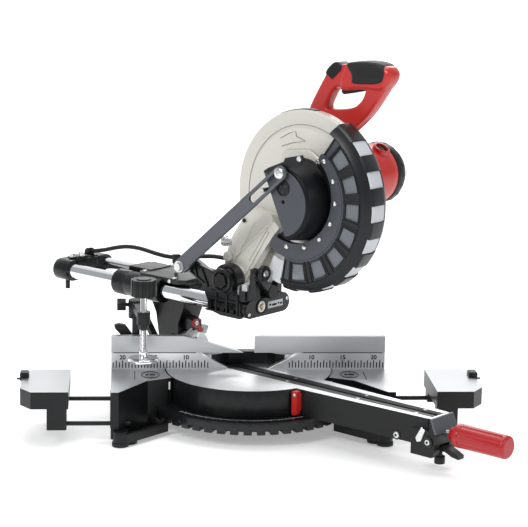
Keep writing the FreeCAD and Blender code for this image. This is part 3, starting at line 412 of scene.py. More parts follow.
def screw_heads(name, places, axis, r, height, material, body, matrix=TURNED, socket=0.45):
    """Round screw heads with a recess; each place is the centre of the seat, out along axis."""
    draft = Draft(matrix)
    letter, sign, seats = seats_along(axis, places)
    for t, centre in seats:
        h = height * sign
        profile = [(t - 0.3 * sign, 0), (t - 0.3 * sign, r), (t + h * 0.6, r), (t + h, r * 0.75),
                   (t + h, r * socket), (t + h * 0.45, r * socket * 0.9), (t + h * 0.45, 0)]
        draft.spin(letter, centre, profile, 20)
    return draft.make(name, material, body)


def hex_heads(name, places, axis, r, height, material, body, matrix=TURNED):
    """Hexagon bolt heads on washers."""
    draft = Draft(matrix)
    letter, sign, seats = seats_along(axis, places)
    for t, centre in seats:
        washer = sorted((t - 0.3 * sign, t + 1.2 * sign))
        draft.rod(letter, centre, *washer, r * 1.35, 0.3)
        head = sorted((t + 1.1 * sign, t + height * sign))
        draft.prism(letter, [polar(centre, r, 60 * i + 15) for i in range(6)], *head)
    return draft.make(name, material, body, 0.4)


# ---- camera, floor and light --------------------------------------------
def floor_paint():
    """Pale sweep with a little glow of its own so it stays near white behind dark pieces."""
    made = shader("floor_pale", (0.86, 0.86, 0.86), rough=0.8, bump=0.0)
    base = made.node_tree.nodes["Principled BSDF"]
    fill(base, {"Emission Color": (1.0, 1.0, 1.0, 1), "Emission Strength": 0.32})
    return made


def aim_camera():
    """Long lens in front of the saw, a little left and above it."""
    camera = add_object("camera", bpy.data.cameras.new("camera"))
    azimuth, elevation = math.radians(VIEW_AZIMUTH), math.radians(VIEW_ELEVATION)
    right = Vector((math.cos(azimuth), math.sin(azimuth), 0))
    back = Vector((math.sin(azimuth) * math.cos(elevation),
                   -math.cos(azimuth) * math.cos(elevation), math.sin(elevation)))
    target = right * VIEW_SHIFT + Vector((0, 0, VIEW_HEIGHT))
    turn = back.to_track_quat("Z", "Y").to_matrix().to_4x4()
    camera.matrix_world = (Matrix.Translation(target + back * VIEW_DISTANCE) @ turn
                           @ Matrix.Rotation(math.radians(VIEW_ROLL), 4, "Z"))
    camera.data.lens = VIEW_LENS
    camera.data.clip_end = 20
    bpy.context.scene.camera = camera


def lay_floor():
    """Floor that curves up into a back wall."""
    floor = bpy.data.meshes.new("floor")
    size, bend_start, bend = 9.0, 2.4, 1.6
    rows = [(-size, 0.0), (bend_start, 0.0)]
    rows += [(bend_start + bend * math.sin(a), bend - bend * math.cos(a))
             for a in [math.radians(9 * i) for i in range(1, 11)]]
    rows.append((bend_start + bend, 7.0))
    verts = [(x, y, z - 0.0006) for y, z in rows for x in (-size, size)]
    faces = [(2 * i, 2 * i + 1, 2 * i + 3, 2 * i + 2) for i in range(len(rows) - 1)]
    floor.from_pydata(verts, [], faces)
    floor.shade_smooth()
    floor.materials.append(floor_paint())
    add_object("floor", floor)


def lamp(name, place, size_x, size_y, power):
    """Rectangular lamp aimed at the middle of the saw."""
    data = bpy.data.lights.new(name, "AREA")
    data.shape, data.size, data.size_y, data.energy = "RECTANGLE", size_x, size_y, power
    obj = add_object(name, data)
    obj.location = place
    aim = Vector((0, 0, 0.25)) - Vector(place)
    obj.rotation_euler = aim.to_track_quat("-Z", "Y").to_euler()


def make_stage():
    aim_camera()
    lay_floor()
    lamp("key", (-1.9, -2.4, 2.6), 1.5, 1.2, 62)
    lamp("fill", (2.4, -2.0, 1.5), 1.4, 1.4, 18)
    lamp("top", (0.0, 0.4, 3.2), 2.4, 1.4, 44)
    lamp("rim", (0.6, 2.8, 2.2), 2.2, 1.0, 30)
    world = bpy.data.worlds.new("studio")
    world.use_nodes = True
    sky = world.node_tree.nodes["Background"]
    fill(sky, {"Color": (0.95, 0.97, 1.0, 1), "Strength": 0.42})
    bpy.context.scene.world = world
    bpy.context.scene.view_settings.view_transform = "Standard"


# ---- base, fence and turntable ------------------------------------------
def words(name, text, size, place, material, body):
    """Flat figures standing on the front face of the fence."""
    curve = bpy.data.curves.new(name, "FONT")
    curve.body = text
    curve.size = size * MM
    curve.extrude = 0.1 * MM
    curve.offset = 0.3 * MM
    curve.align_x = "CENTER"
    mesh = mesh_of(curve)
    mesh.transform(Matrix.Translation(Vector(place) * MM) @ Matrix.Rotation(math.pi / 2, 4, "X"))
    mesh.materials.append(material)
    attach(add_object(name, mesh), body)


def base_details():
    node("base_casting", TOPPED, 1.2)
    node("miter_scale_ring", CAST, 0.8)
    node("fixed_fence", FENCE, 0.5)
    node("base_feet", SOFT, 0.8)
    node("clamp_post", DARK)
    node("miter_pivot_bolt", STEEL, 0.6)
    for side in ("left", "right"):
        node(side + "_upper_fence", SILVER, 0.5)
        node(side + "_fence_lock", BLACK, 0.5)
        node(side + "_wing", machined_faces(side + "_wing_top", (0.52, 0.53, 0.54)), 1.5)
        node(side + "_wing_rods", DARK)
        node(side + "_flip_stop", BLACK, 0.6)
        node(side + "_wing_lock", BLACK, 0.6)

    ticks = Draft(PLAIN)
    for side in (-1, 1):
        for i in range(FIRST_TICK, LAST_TICK + 1):
            x = side * (i * 5.0)
            reach = 12.0 if i % 2 == 0 else 9.0
            ticks.box(x - 0.85, x + 0.85, -0.2, 0.1, TABLE_Z + 2.0, TABLE_Z + 2.0 + reach)
    ticks.make("fence_scale_marks", INK_AND_SHADE, "base")
    for side, name in ((-1, "left"), (1, "right")):
        for value in (10, 15, 20):
            words("fence_figure_%s_%d" % (name, value), str(value), 9.5,
                  (side * value * 10, -0.06, TABLE_Z + 16.0), INK_AND_SHADE, "base")

    # Thin black strip along the gap between the lower and upper fences: painted shadow of the gap.
    gap = Draft(PLAIN)
    gap.box(-214, -84, -0.25, 0.2, TABLE_Z + 26.0, TABLE_Z + 27.2)
    gap.box(86, 214, -0.25, 0.2, TABLE_Z + 26.0, TABLE_Z + 27.2)
    gap.make("fence_gap_shadow", INK_AND_SHADE, "base")

    marks = Draft(PLAIN)
    marks.box(-181.8, -180.6, -62, -14, TABLE_Z - 0.2, TABLE_Z + 0.12)
    marks.box(180.6, 181.8, -66, -16, TABLE_Z - 0.2, TABLE_Z + 0.12)
    for _, x in OVALS:
        for y0, y1, half in ((-46, -43.5, 5), (-39, -31, 8), (-27, -24.5, 5)):
            marks.box(x - half, x - half * 0.35, y0, y1, TABLE_Z - 0.2, TABLE_Z + 0.12)
            marks.box(x - half * 0.2, x + half, y0, y1, TABLE_Z - 0.2, TABLE_Z + 0.12)
    marks.make("table_marks", INK_AND_SHADE, "base")
    for name, x in OVALS:
        for ring, (rx, ry) in enumerate(((14.6, 20.5), (12.2, 17.0))):
            loop = [(x + rx * math.cos(math.radians(10 * i)),
                     -35.2 + ry * math.sin(math.radians(10 * i)), TABLE_Z + 0.05)
                    for i in range(36)]
            strip("table_oval_%s_%d" % (name, ring), loop, 0.45, INK_AND_SHADE, "base", PLAIN, cyclic=True)

    ring = Draft(PLAIN)
    for i in range(-50, 51):
        angle = math.radians(-90 + i)
        deep = 5.0 if i % 5 == 0 else 3.0
        c, s = math.cos(angle), math.sin(angle)
        ring.prism("z", rib((142 * c, 142 * s), ((142 + deep) * c, (142 + deep) * s), 0.28), 40.8,
                   41.12)
    ring.make("degree_marks", CHALK, "base")
    for i in range(-8, 9, 2):
        ball = Draft(PLAIN)
        ball.rod("z", polar((0, 0), 152.5, -90 + i * 5.4), 40.5, 41.5, 2.2, 0.3, 16)
        ball.make("detent_mark_%d" % (i + 9), CAST, "base")

    front = Draft(PLAIN)
    for side in (-1, 1):
        front.box(side * 127 - 1.2, side * 127 + 1.2, -56, -51, 66, 78)
    front.make("index_marks", CHALK, "base", 0.3)

    extruded(
        "fence_release_lever", "y", [(-214, 150), (-206, 152), (-196, 150), (-182, 131),
         (-186, 118), (-198, 128), (-212, 144)], 22, 33, BLACK, "base", 2.0, matrix=PLAIN)
    ribs = Draft(PLAIN)
    for side in (-1, 1):
        for k in range(3):
            x, y = side * TABLE_HALF, -116 + 14 * k
            ribs.box(x - 0.9, x + 0.9, y - 1.5, y + 1.5, 22, 74)
    ribs.make("table_side_ribs", CAST, "base", 0.5)
    screw_heads("fence_screws", [(x, 26.0, 91) for x in (-205, -158, 158, 205)], "+y", 4.2, 3.2,
                ZINC, "base", PLAIN)


def turntable_details():
    node("turntable", machined_faces("turntable_top", (0.8, 0.81, 0.82)), 1.0)
    node("kerf_plates", BLACK, 0.3)
    node("angle_pointer", RED, 0.4)
    node("front_foot", BLACK, 0.8)
    node("miter_lock_rod", ZINC)
    node("miter_lock_handle", RED_GRIP, 1.0)
    node("detent_lever", BLACK, 1.2)
    grooves = Draft()
    for k in range(5):
        x = 5.2 + 2.0 * k
        grooves.box(x - 0.45, x + 0.45, -366, 90, 83.5, 84.05)
    grooves.make("kerf_insert_ribs", DARK, "table")
    screw_heads("kerf_screws", [(s * 11, y, 83.7) for s in (-1, 1) for y in (-340, -230, -90, 60)],
                "+z", 2.6, 0.5, STEEL, "table")
    extruded(
        "arm_end_plate", "x", [(-376.2, 84.6), (-379.8, 84.6), (-389.3, 63.2), (-385.2, 62.4)],
        -27.5, 27.5, LINK, "table", 0.5)
    extruded(
        "arm_side_clip", "x", [(-369, 66), (-362, 70), (-352, 52), (-355, 46), (-362, 48)], -29,
        -26, ZINC, "table", 0.8)
    screw_heads("arm_side_screws", [(-25.7, -316, 48), (-27, -374, 49)], "-x", 5.0, 3.0, ZINC,
                "table")
    boss = Draft()
    boss.rod("x", (-374, 49), -29.5, -26, 8.5, 1.0)
    boss.rod("x", (-316, 48), -27.5, -24, 7.5, 1.0)
    boss.make("arm_side_bosses", CAST, "table")
    screw_heads("pointer_screw", [(-45, -133, 76)], "-x", 2.8, 1.4, ZINC, "table")
    extruded(
        "pointer_seat", "z", [(-36, -139), (-36, -127.5), (-30, -127.5), (-30, -139)], 79, 83, CAST,
        "table", 0.6)

    scale = Draft()
    scale.spin("y", (0, TABLE_Z), [(109.2, 40), (111.8, 40), (111.8, 54), (109.2, 54)], 40,
               62, 142, closed=True)
    scale.make("bevel_scale", SILVER, "table", 0.4)
    ticks = Draft()
    for i in range(-5, 10):
        a = 90 + i * 5
        inner = 47 if i % 3 else 44
        ticks.prism("y", tick((0, TABLE_Z), inner, 52, a, 0.35, 0.3), 109.0, 109.4)
    ticks.make("bevel_marks", INK_AND_SHADE, "table")


# ---- clamp and bevel column ---------------------------------------------
def clamp_details():
    node("clamp_bracket", BLACK, 1.2)
    node("clamp_lock_knob", BLACK, 1.0)
    node("clamp_screw", CHROME, 0.8)
    node("clamp_knob", BLACK, 1.0)
    thread("clamp_thread", CLAMP_SCREW, 126, 1.5, 29, (4.9, 5.35), CHROME, "clamp_spindle", PLAIN)
    extruded(
        "clamp_nut", "z", [polar(CLAMP_SCREW, 8.5, 60 * i) for i in range(6)], 164, 172, BLACK,
        "clamp_arm", 0.6, matrix=PLAIN)
    cap = Draft(PLAIN)
    cap.rod("z", CLAMP_SCREW, 242.6, 244.4, 12, 0.8)
    cap.make("clamp_knob_cap", DARK, "clamp_spindle")


def column_details():
    node("bevel_neck", CAST, 3.0)
    node("linear_bushings", DARK)
    node("bevel_pivot_bolt", STEEL, 0.6)
    node("bevel_lock_lever", BLACK, 1.5)
    extruded(
        "bevel_pointer", "y", [(-18, 142), (-12, 149), (-4, 149), (0, 143), (2, 136), (10, 130),
         (9, 124), (1, 126), (-5, 132), (-14, 135)], 107.5, 109.6, RED, "bevel", 0.8)
    screw_heads("bevel_pointer_screw", [(-8, 107.5, 142)], "-y", 4.2, 2.2, ZINC, "bevel")
    extruded(
        "bevel_pointer_seat", "x", [(107.6, 130), (131.4, 130), (131.4, 150), (122, 150),
         (107.6, 146)], -14, 6, CAST, "bevel", 1.0)

    carriage = Draft()
    for side in (-1, 1):
        profile = [(150, 16.5), (150, 19.6), (151.2, 20.9), (176, 20.9), (177.2, 20.2),
                   (225, 20.2), (226.2, 20.9), (250.8, 20.9), (252, 19.6), (252, 16.5)]
        carriage.spin("y", (side * RAIL_X, RAIL_Z), profile, 48)
    carriage.make("carriage_barrels", CAST, "bevel")
    node("carriage", CAST, 1.0)
    ribs = Draft()
    for k in range(3):
        ribs.box(-59, -57.2, 182 + 8 * k, 184.5 + 8 * k, 184, 206)
    ribs.make("carriage_ribs", CAST, "bevel", 0.5)
    screw_heads("carriage_screws", [(-38, 128, 217), (38, 128, 217), (-32, 200, 217),
                                    (32, 200, 217)], "+z", 4.0, 2.4, ZINC, "bevel")
    screw_heads("carriage_side_screw", [(-43, 134, 212.5)], "-x", 3.2, 2.0, ZINC, "bevel")
    Draft().box(-24, 24, 196, 246, 205, 219).make("carriage_rear_step", CAST, "bevel", 2.0)
    thread("slide_lock_thread", (0, 160), 209.4, 1.7, 12, (2.6, 3.3), ZINC, "slide_lock")
    grip = Draft()
    grip.prism("y", [(-6.8, 247.5), (6.8, 246), (7.2, 233), (2.8, 230), (2.8, 227), (-2.8, 227),
                     (-2.8, 230), (-6.4, 233)], 156.2, 163.8)
    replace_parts(grip.make("slide_lock_grip", BLACK, "slide_lock", 1.2), "slide_lock_knob")


# ---- rails, brackets and cable ------------------------------------------
def slide_details():
    node("slide_rails", CHROME)
    node("rear_yoke", CAST, 1.5)
    node("head_pivot_shaft", BLACK, 0.6)
    node("torsion_spring", STEEL)
    node("flex_fittings", BLACK, 0.6)
    node("front_bracket", CAST, 1.2)
    node("depth_stop", BLACK, 0.4)
    clampbar = Draft()
    clampbar.box(-30, 16, 359, 362.4, 196, 212)
    clampbar.box(-30, -6, 359, 368, 206, 217)
    clampbar.box(-26, 20, 362, 390, 210, 214)
    clampbar.make("rear_clamp_bar", CAST, "slide", 1.5)
    hex_heads("rear_clamp_bolts", [(-18, 364, 217), (-26, 378, 214)], "+z", 4.5, 6.0, ZINC, "slide")
    screw_heads("rear_yoke_screw", [(30, 396, 194), (-30, 396, 194)], "+y", 5, 2.5, ZINC, "slide")

    ends = Draft()
    for side in (-1, 1):
        ends.rod("y", (side * RAIL_X, RAIL_Z), 395.8, 398.4, 13.5, 1.2)
    ends.make("rear_rail_caps", BLACK, "slide")

    web = Draft()
    for y0, y1, z0, z1 in ((-28, 40, 184.5, 187), (-26, 34, 205, 207.4), (-20, 30, 216, 218.4)):
        web.box(-60.5, -57.6, y0, y1, z0, z1)
    for y in (-26, -4, 18, 34):
        web.box(-60.5, -57.6, y - 1.2, y + 1.2, 184, 218 if y < 30 else 205)
    web.make("bracket_web_ribs", CAST, "slide", 0.4)
    truss = Draft()
    for start, end in (((22, 247), (82, 260)), ((36, 222), (84, 246)), ((36, 222), (52, 253)),
                       ((60, 234), (66, 258))):
        truss.prism("x", rib(start, end, 1.3), -60.5, -57.6)
    truss.make("bracket_arm_ribs", CAST, "slide", 0.3)
    turned(
        "pivot_bearing_ring", "x", PIVOT, [(-58, 19), (-61, 18.5), (-61.6, 16.8), (-61.6, 14.6),
         (-58, 14.2)], 40, CAST, "slide")
    cup = Draft()
    cup.spin("x", PIVOT, [(-49.8, 24.5), (-34, 24.5), (-33, 23.5), (-33, 20), (-49.8, 20)], 48, 10,
             200, closed=True)
    cup.make("spring_cup", CAST, "slide", 0.4)

    face = Draft()
    outline = (arc((-RAIL_X, RAIL_Z), 14.6, 90, 270, 16)
               + arc((RAIL_X, RAIL_Z), 14.6, -90, 90, 16))
    face.prism("y", outline, -38.5, -35.8)
    face.make("bracket_face", CAST, "slide", 1.6)
    turned(
        "plug_rim", "y", PLUG, [(-38.4, 12.2), (-40.4, 11.8), (-40.4, 9.6), (-37.6, 9.2)], 40,
        BLACK, "slide")
    turned(
        "plug_disc", "y", PLUG, [(-37.8, 9.3), (-39.2, 8.6), (-39.2, 4.2), (-38.7, 3.6),
         (-38.7, 0)], 32, STEEL, "slide")
    Draft().rod("y", PLUG, -40.2, -38.5, 3.4, 0.6).make("plug_centre", BRASS, "slide")
    Draft().box(-0.5, 35, -38.95, -38.3, 189.2, 200).make("bracket_label", LABEL, "slide", 0.3)
    bars = Draft()
    for k, (x0, x1) in enumerate(((2, 7), (9, 20), (23, 26), (28, 33))):
        bars.box(x0, x1, -39.05, -38.8, 193.2 - (k % 2), 196.4 - (k % 2))
    bars.make("bracket_label_marks", INK_AND_SHADE, "slide")
    screw_heads("bracket_face_screws", [(45, -38.4, 199), (-45, -38.4, 186)], "-y", 3.2, 1.6, ZINC,
                "slide")
    screw_heads("bracket_side_screws", [(-60.4, 4, 192), (-60.4, -16, 190)], "-x", 4.0, 1.6, BLACK,
                "slide")

    stop = Draft()
    across = Vector((40, 42)).normalized() * 6
    ends = [Vector((-64, 263)), Vector((-32, 231))]
    corners = [ends[0] + across, ends[1] + across, ends[1] - across, ends[0] - across]
    stop.prism("y", [tuple(corner) for corner in corners], -68, -60)
    stop.make("stop_swing_bar", CAST, "slide", 1.2)
    turned(
        "stop_disc_knob", "y", STOP_DISC, [(-68, 0), (-68, 11), (-69.5, 12.2), (-75.5, 12.2),
         (-77, 11), (-77, 6.6), (-74.5, 6.2), (-74.5, 0)], 40, BLACK, "slide")
    screw_heads("stop_disc_screw", [(STOP_DISC[0], -74.6, STOP_DISC[1])], "-y", 5.4, 3.6, ZINC,
                "slide", socket=0.3)
    post = Draft()
    post.rod("y", STOP_DISC, -69, -52, 4, 0.4)
    post.prism("x", [(-62, 216), (-34, 208), (-34, 226), (-46, 238), (-47, 262), (-56, 262)],
               -54, -46)
    post.make("stop_disc_post", CAST, "slide", 0.8)
    extruded(
        "bracket_plate_block", "y", [(-58, 226), (-31, 231), (-31, 240), (-34, 240), (-58, 236)],
        -44, -34, LABEL, "slide", 0.8)
    Draft().box(-58, -31, -40, -28, 208, 227).make("bracket_shelf", CAST, "slide", 1.5)
    turns, per_turn, rise = 10, 16, 18.4
    spring = [(*polar((-42, -14), 4.2, i * 360 / per_turn), 212 + rise * i / (turns * per_turn))
              for i in range(turns * per_turn + 1)]
    strip("stop_spring", spring, 0.6, STEEL, "slide")
    power_cable()


def power_cable():
    """Lead from the rear yoke over the carriage to the front bracket."""
    route = [(15, 372, 219), (14, 345, 224), (13, 316, 233), (13, 286, 240), (13, 254, 241),
             (13, 222, 237.5), (13, 190, 236), (14, 158, 239), (18, 126, 246), (29, 94, 249),
             (43, 68, 242), (49, 46, 229)]
    curve = bpy.data.curves.new("power_cable", "CURVE")
    curve.dimensions = "3D"
    curve.bevel_depth = 3.5 * MM
    curve.bevel_resolution = 6
    curve.resolution_u = 12
    spline = curve.splines.new("NURBS")
    spline.points.add(len(route) - 1)
    for point, place in zip(spline.points, route):
        point.co = (*(TURNED @ (Vector(place) * MM)), 1)
    spline.order_u = 3
    spline.use_endpoint_u = True
    curve.materials.append(SOFT)
    cable = add_object("power_cable", curve)
    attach(cable, "slide")
    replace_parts(cable, "power_flex")


# ---- saw head -----------------------------------------------------------
def head_details():
    node("saw_arm", CREAM, 2.0)
    node("saw_blade", STEEL)
    node("arbor_shaft", STEEL, 0.4)
    node("driven_gear", STEEL)
    node("armature", STEEL)
    guard = Draft()
    section = [(-11.5, 24), (-11.5, 101), (-12.7, 104), (-12.7, 108.5), (-11.6, 112), (-12, 127),
               (-11.4, 133.2), (-9.8, 135), (2.5, 135), (5, 133.5), (5.5, 131), (5.5, 24), (3, 24),
               (3, 131.5), (-8.5, 131.5), (-8.5, 24)]
    guard.spin("x", BLADE, section, 96, -42, 134, closed=True)
    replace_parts(guard.make("upper_guard_shell", CREAM, "head"), "upper_guard")
    vent = Draft()
    vent.spin("x", BLADE, [(-8, 134), (-8, 136.2), (4, 136.2), (4, 134)], 16, 66, 96, closed=True)
    vent.make("guard_top_vent", BLACK, "head", 0.6)
    extruded(
        "guard_hub_plate", "x", [(-60, 402), (-72, 440), (-79, 447), (-127, 452), (-158, 438),
         (-170, 420), (-150, 380), (-110, 340), (-80, 350)], -18, -11, CREAM, "head", 3.5)
    strip("guard_arrow", [(-12.1, -67, 463), (-12.1, -82, 471), (-12.1, -97, 477.5),
                          (-12.1, -98.5, 469), (-12.1, -117, 463.5), (-12.1, -90, 458),
                          (-12.1, -70, 451)], 0.5, CREAM_LINE, "head")
    strip("guard_rim_line", [(-12.3, *polar(BLADE, 112.5, a)) for a in range(-28, 131, 3)], 0.35,
          CREAM_LINE, "head")

    ribs = Draft()
    for start, end in (((4, 272), (-70, 338)), ((-14, 243), (-60, 318))):
        ribs.prism("x", rib(start, end, 1.6), -30.5, -27)
    ribs.make("arm_ribs", CREAM, "head", 1.0)
    turned(
        "arm_barrel", "x", PIVOT, [(-30.4, 9.2), (-30.4, 21), (-28.8, 23.4), (-24, 23.4),
         (-22, 22.6), (34, 22.6), (36, 23.4), (41, 23.4), (42.4, 21), (42.4, 9.2)], 56, CREAM,
        "head")
    knuckle = Draft()
    knuckle.rod("x", (20, 268), -34, -26, 9, 2.0)
    knuckle.rod("x", (24, 250), -33, -26, 6.5, 1.5)
    knuckle.make("arm_bosses", CREAM, "head")
    screw_heads("arm_screws", [(-33, 24, 250), (-30, -12, 330)], "-x", 3.4, 1.4, BLACK, "head")
    turned(
        "head_lock_pin", "y", LOCK_PIN, [(14, 0), (14, 7), (30, 7), (31, 8.6), (36, 8.6), (37, 7.4),
         (37, 0)], 32, ZINC, "head")
    Draft().rod("y", LOCK_PIN, 36.6, 38.2, 6.6, 0.6).make("head_lock_cap", RED, "head")


def drum_outline(radius, flat):
    """Circle about the blade axis with a flat cut across its rear lower side."""
    flat_faces = -25
    half = math.degrees(math.acos(flat / radius))
    return arc(BLADE, radius, flat_faces + half, flat_faces + 360 - half, 72)


def drum_details():
    """Tapered arbor cover with its face plate, bolt flag and guide post."""
    body = Draft()
    sections = [(-71, 53.5, 10.5), (-69.8, 55.5, 11.6), (-67.5, 56.8, 12.2), (-14, 64, 15),
                (-12, 64, 15)]      # x, radius and distance of the flat, from the face to the base
    rings = [[(x, y, z) for y, z in drum_outline(r, flat)] for x, r, flat in sections]
    n, last = len(rings[0]), len(rings) - 1
    sides = [(k * n + i, k * n + (i + 1) % n, (k + 1) * n + (i + 1) % n, (k + 1) * n + i)
             for k in range(last) for i in range(n)]
    ends = [tuple(range(n)), tuple(range(last * n, (last + 1) * n))]
    body.add([point for ring in rings for point in ring], ends + sides)
    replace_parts(body.make("arbor_drum", GLOSS, "head"), "arbor_cover")
    # The face plate takes the painted sheen grey, which stands in for the sky's reflection on the
    # black drum plastic.
    plate("drum_face", "x", [drum_outline(51, 9)], -73.2, -69, SHEEN_GREY, "head", edge=1.2)
    turned(
        "drum_boss", "x", DRUM_BOSS, [(-72.9, 12.5), (-74.6, 12.2), (-74.6, 10.4), (-73.4, 10.2),
         (-73.4, 0)], 40, DARK, "head")
    for k in range(3):
        dot = Draft()
        dot.rod("x", polar(DRUM_BOSS, 5.5, 120 * k + 30), -74.4, -73.0, 1.4, 0.3, 16)
        dot.make("drum_boss_dot_%d" % k, SHEEN_GREY, "head")
    turned(
        "drum_oil_hole", "x", (-126.7, 379), [(-73.0, 3.0), (-74.0, 2.8), (-74.0, 1.8),
         (-73.3, 1.6), (-73.3, 0)], 24, INK_AND_SHADE, "head")
    plate("drum_flag", "x", [[(-122, 428), (-130, 446), (-162, 454), (-167, 448), (-159, 438),
                              (-134, 431)]], -75.5, -72.0, DARK, "head", 0.8)
    screw_heads("drum_flag_screw", [(-75.4, -158, 448)], "-x", 4.2, 2.4, ZINC, "head")
    extruded(
        "drum_flag_arm", "x", [(-93, 424), (-128, 440), (-131, 432), (-97, 413)], -74.6, -71.5,
        DARK, "head", 0.6)
    Draft().rod("x", (-90.8, 393.3), -81.4, -60, 3.5, 0.6).make("guide_post", STEEL, "head")
    screw_heads("guard_hub_screws", [(-18, -146, 436), (-18, -80, 366)], "-x", 4.0, 2.2, ZINC,
                "head")


def rivet_circle(angle):
    """Distance of the rivet row from the blade axis, which it runs round off centre."""
    return 82.3 + 10 * math.cos(math.radians(angle - 62))


def lower_guard_plates():
    """Side plates of the lower guard with the ring round its hub; the near plate, ring and lip
    carry the painted sheen grey, the far plate the dark plastic.
    """
    a0, a1 = ARC
    holes = [pie(BLADE, WINDOW_LOW, WINDOW_HIGH, a - HALF_WINDOW, a + HALF_WINDOW, 6)
             for a in MIDDLES]
    outline = pie(BLADE, 82, 127.2, a0, a1, 72)
    near = plate("guard_near_plate", "x", [outline] + holes, NEAR, NEAR + 4, SHEEN_GREY, "guard", 0.7)
    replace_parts(near, "lower_guard")
    outline = pie(BLADE, 66, 137.5, a0, a1, 72)
    plate("guard_far_plate", "x", [outline], FAR - 2.5, FAR, DARK, "guard", 0.6)
    extruded(
        "guard_hub_skirt", "x", pie(BLADE, 66, 88, a0, a1 + 21, 60), NEAR + 4.2, NEAR + 6.5, INK_AND_SHADE,
        "guard", 0.3)

    start, end, steps = a1 + 22, a0 - 2, 60
    angles = [start + (end - start) * i / steps for i in range(steps + 1)]
    inner = [polar(BLADE, rivet_circle(angle) - 7, angle) for angle in angles]
    plate("guard_inner_ring", "x", [arc(BLADE, 91, end, start, steps) + inner], NEAR - 2.2,
          NEAR + 1.5, SHEEN_GREY, "guard", 0.6)
    band = Draft()
    band.spin("x", BLADE, [(NEAR + 1, 125), (NEAR - 1.6, 125.6), (NEAR - 2.4, 127.5),
                           (NEAR + 1.5, 133.5), (NEAR + 7, 138.4), (NEAR + 7, 126)], 90, a0 - 4,
              a1, closed=True)
    band.make("guard_outer_band", DARK, "guard")
    lip = Draft()
    lip.spin("x", BLADE, [(NEAR + 1, 91), (NEAR - 1.6, 91.4), (NEAR - 1.6, 94.4), (NEAR + 1, 95)],
             90, a0, a1, closed=True)
    lip.make("guard_inner_lip", SHEEN_GREY, "guard")


def lower_guard_windows():
    a0, a1 = ARC
    bars = Draft()
    for a in [a0 + 1.2] + [m + s * 8.2 for m in MIDDLES for s in (-1, 1)] + [a1 - 1.2]:
        bars.prism("x", tick(BLADE, 94, 127, a, 0.75, 0.55), NEAR - 2.0, NEAR + 1)
    for middle in MIDDLES[:-1]:
        bars.prism("x", tick(BLADE, 96, 125, middle + STEP, 2.2, 2.2), NEAR - 0.9, NEAR + 1)
    bars.make("guard_bars", DARK, "guard", 0.3)
    frames = Draft()
    for middle in MIDDLES:
        for r0, r1 in ((96.2, 97.6), (122.4, 123.8)):
            frames.prism("x", pie(BLADE, r0, r1, middle - 7.2, middle + 7.2, 6), NEAR - 1.4, NEAR)
        for edge in (middle - HALF_WINDOW, middle + HALF_WINDOW):
            frames.prism("x", pie(BLADE, WINDOW_LOW, WINDOW_HIGH, edge - 0.4, edge + 0.4, 3),
                         NEAR - 1.4, NEAR)
    frames.make("guard_window_frames", BLACK, "guard")
    panes = Draft()
    for middle in MIDDLES:
        panes.prism("x", pie(BLADE, 97.1, 122.9, middle - 6.5, middle + 6.5, 6), NEAR + 1.2,
                    NEAR + 3.2)
    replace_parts(panes.make("guard_side_windows", SMOKE, "guard", 0.2), "guard_windows")


def lower_guard_rim():
    """Rim of black blocks and clear windows in turn, clear of the upper guard when drawn back."""
    a0, a1 = ARC
    rim, glass = Draft(), Draft()
    tall = [(NEAR + 6, 136.6), (NEAR + 7, 140), (NEAR + 10, 143.2), (-2, 143.2), (FAR - 5, 141),
            (FAR, 137.8), (FAR, 136.6)]
    low = [(NEAR + 6, 136.6), (NEAR + 7, 138.6), (NEAR + 9, 139.6), (NEAR + 9, 136.6)]
    far = [(FAR - 5, 136.6), (FAR - 5, 138.5), (FAR, 137.6), (FAR, 136.6)]
    pane = [(NEAR + 9, 137), (NEAR + 9, 139.8), (NEAR + 11, 141), (-4, 141), (FAR - 5, 139),
            (FAR - 5, 137)]
    for i in range(2 * WINDOWS + 1):
        start, end = a0 + STEP * i - (4 if i == 0 else 0), a0 + STEP * (i + 1)
        if i % 2 == 0:
            rim.spin("x", BLADE, tall, 8, start, end, closed=True)
        else:
            glass.spin("x", BLADE, pane, 8, start + 0.1, end - 0.1, closed=True)
            for profile in (low, far):
                rim.spin("x", BLADE, profile, 8, start - 0.1, end + 0.1, closed=True)
    extruded(
        "guard_tail_pane", "x", pie(BLADE, 99, 136, a1 + 0.5, a1 + 13, 8), NEAR + 0.5, NEAR + 3,
        PANE, "guard", 0.4)
    rim.make("guard_rim_blocks", DARK, "guard", 0.5)
    glass.make("guard_rim_windows", PANE, "guard", 0.5)


def lower_guard_rivets():
    """Domed rivets on flat seats, spread wider towards the front."""
    domes, seats = Draft(), Draft()
    x = NEAR - 2.1
    for i in range(7):
        angle = 130.4 + 22 * i + 0.5 * i * i
        place = polar(BLADE, rivet_circle(angle), angle)
        domes.spin("x", place, [(x + 0.5, 3.9), (x - 0.6, 3.9), (x - 2.0, 3.1), (x - 2.7, 1.7),
                                (x - 2.9, 0)], 20)
        seats.spin("x", place, [(x + 0.6, 6.6), (x - 0.4, 6.3), (x - 0.4, 0)], 24)
    domes.make("guard_rivets", ZINC, "guard")
    # Seats in the painted sheen grey of the near face.
    seats.make("guard_rivet_seats", SHEEN_GREY, "guard")


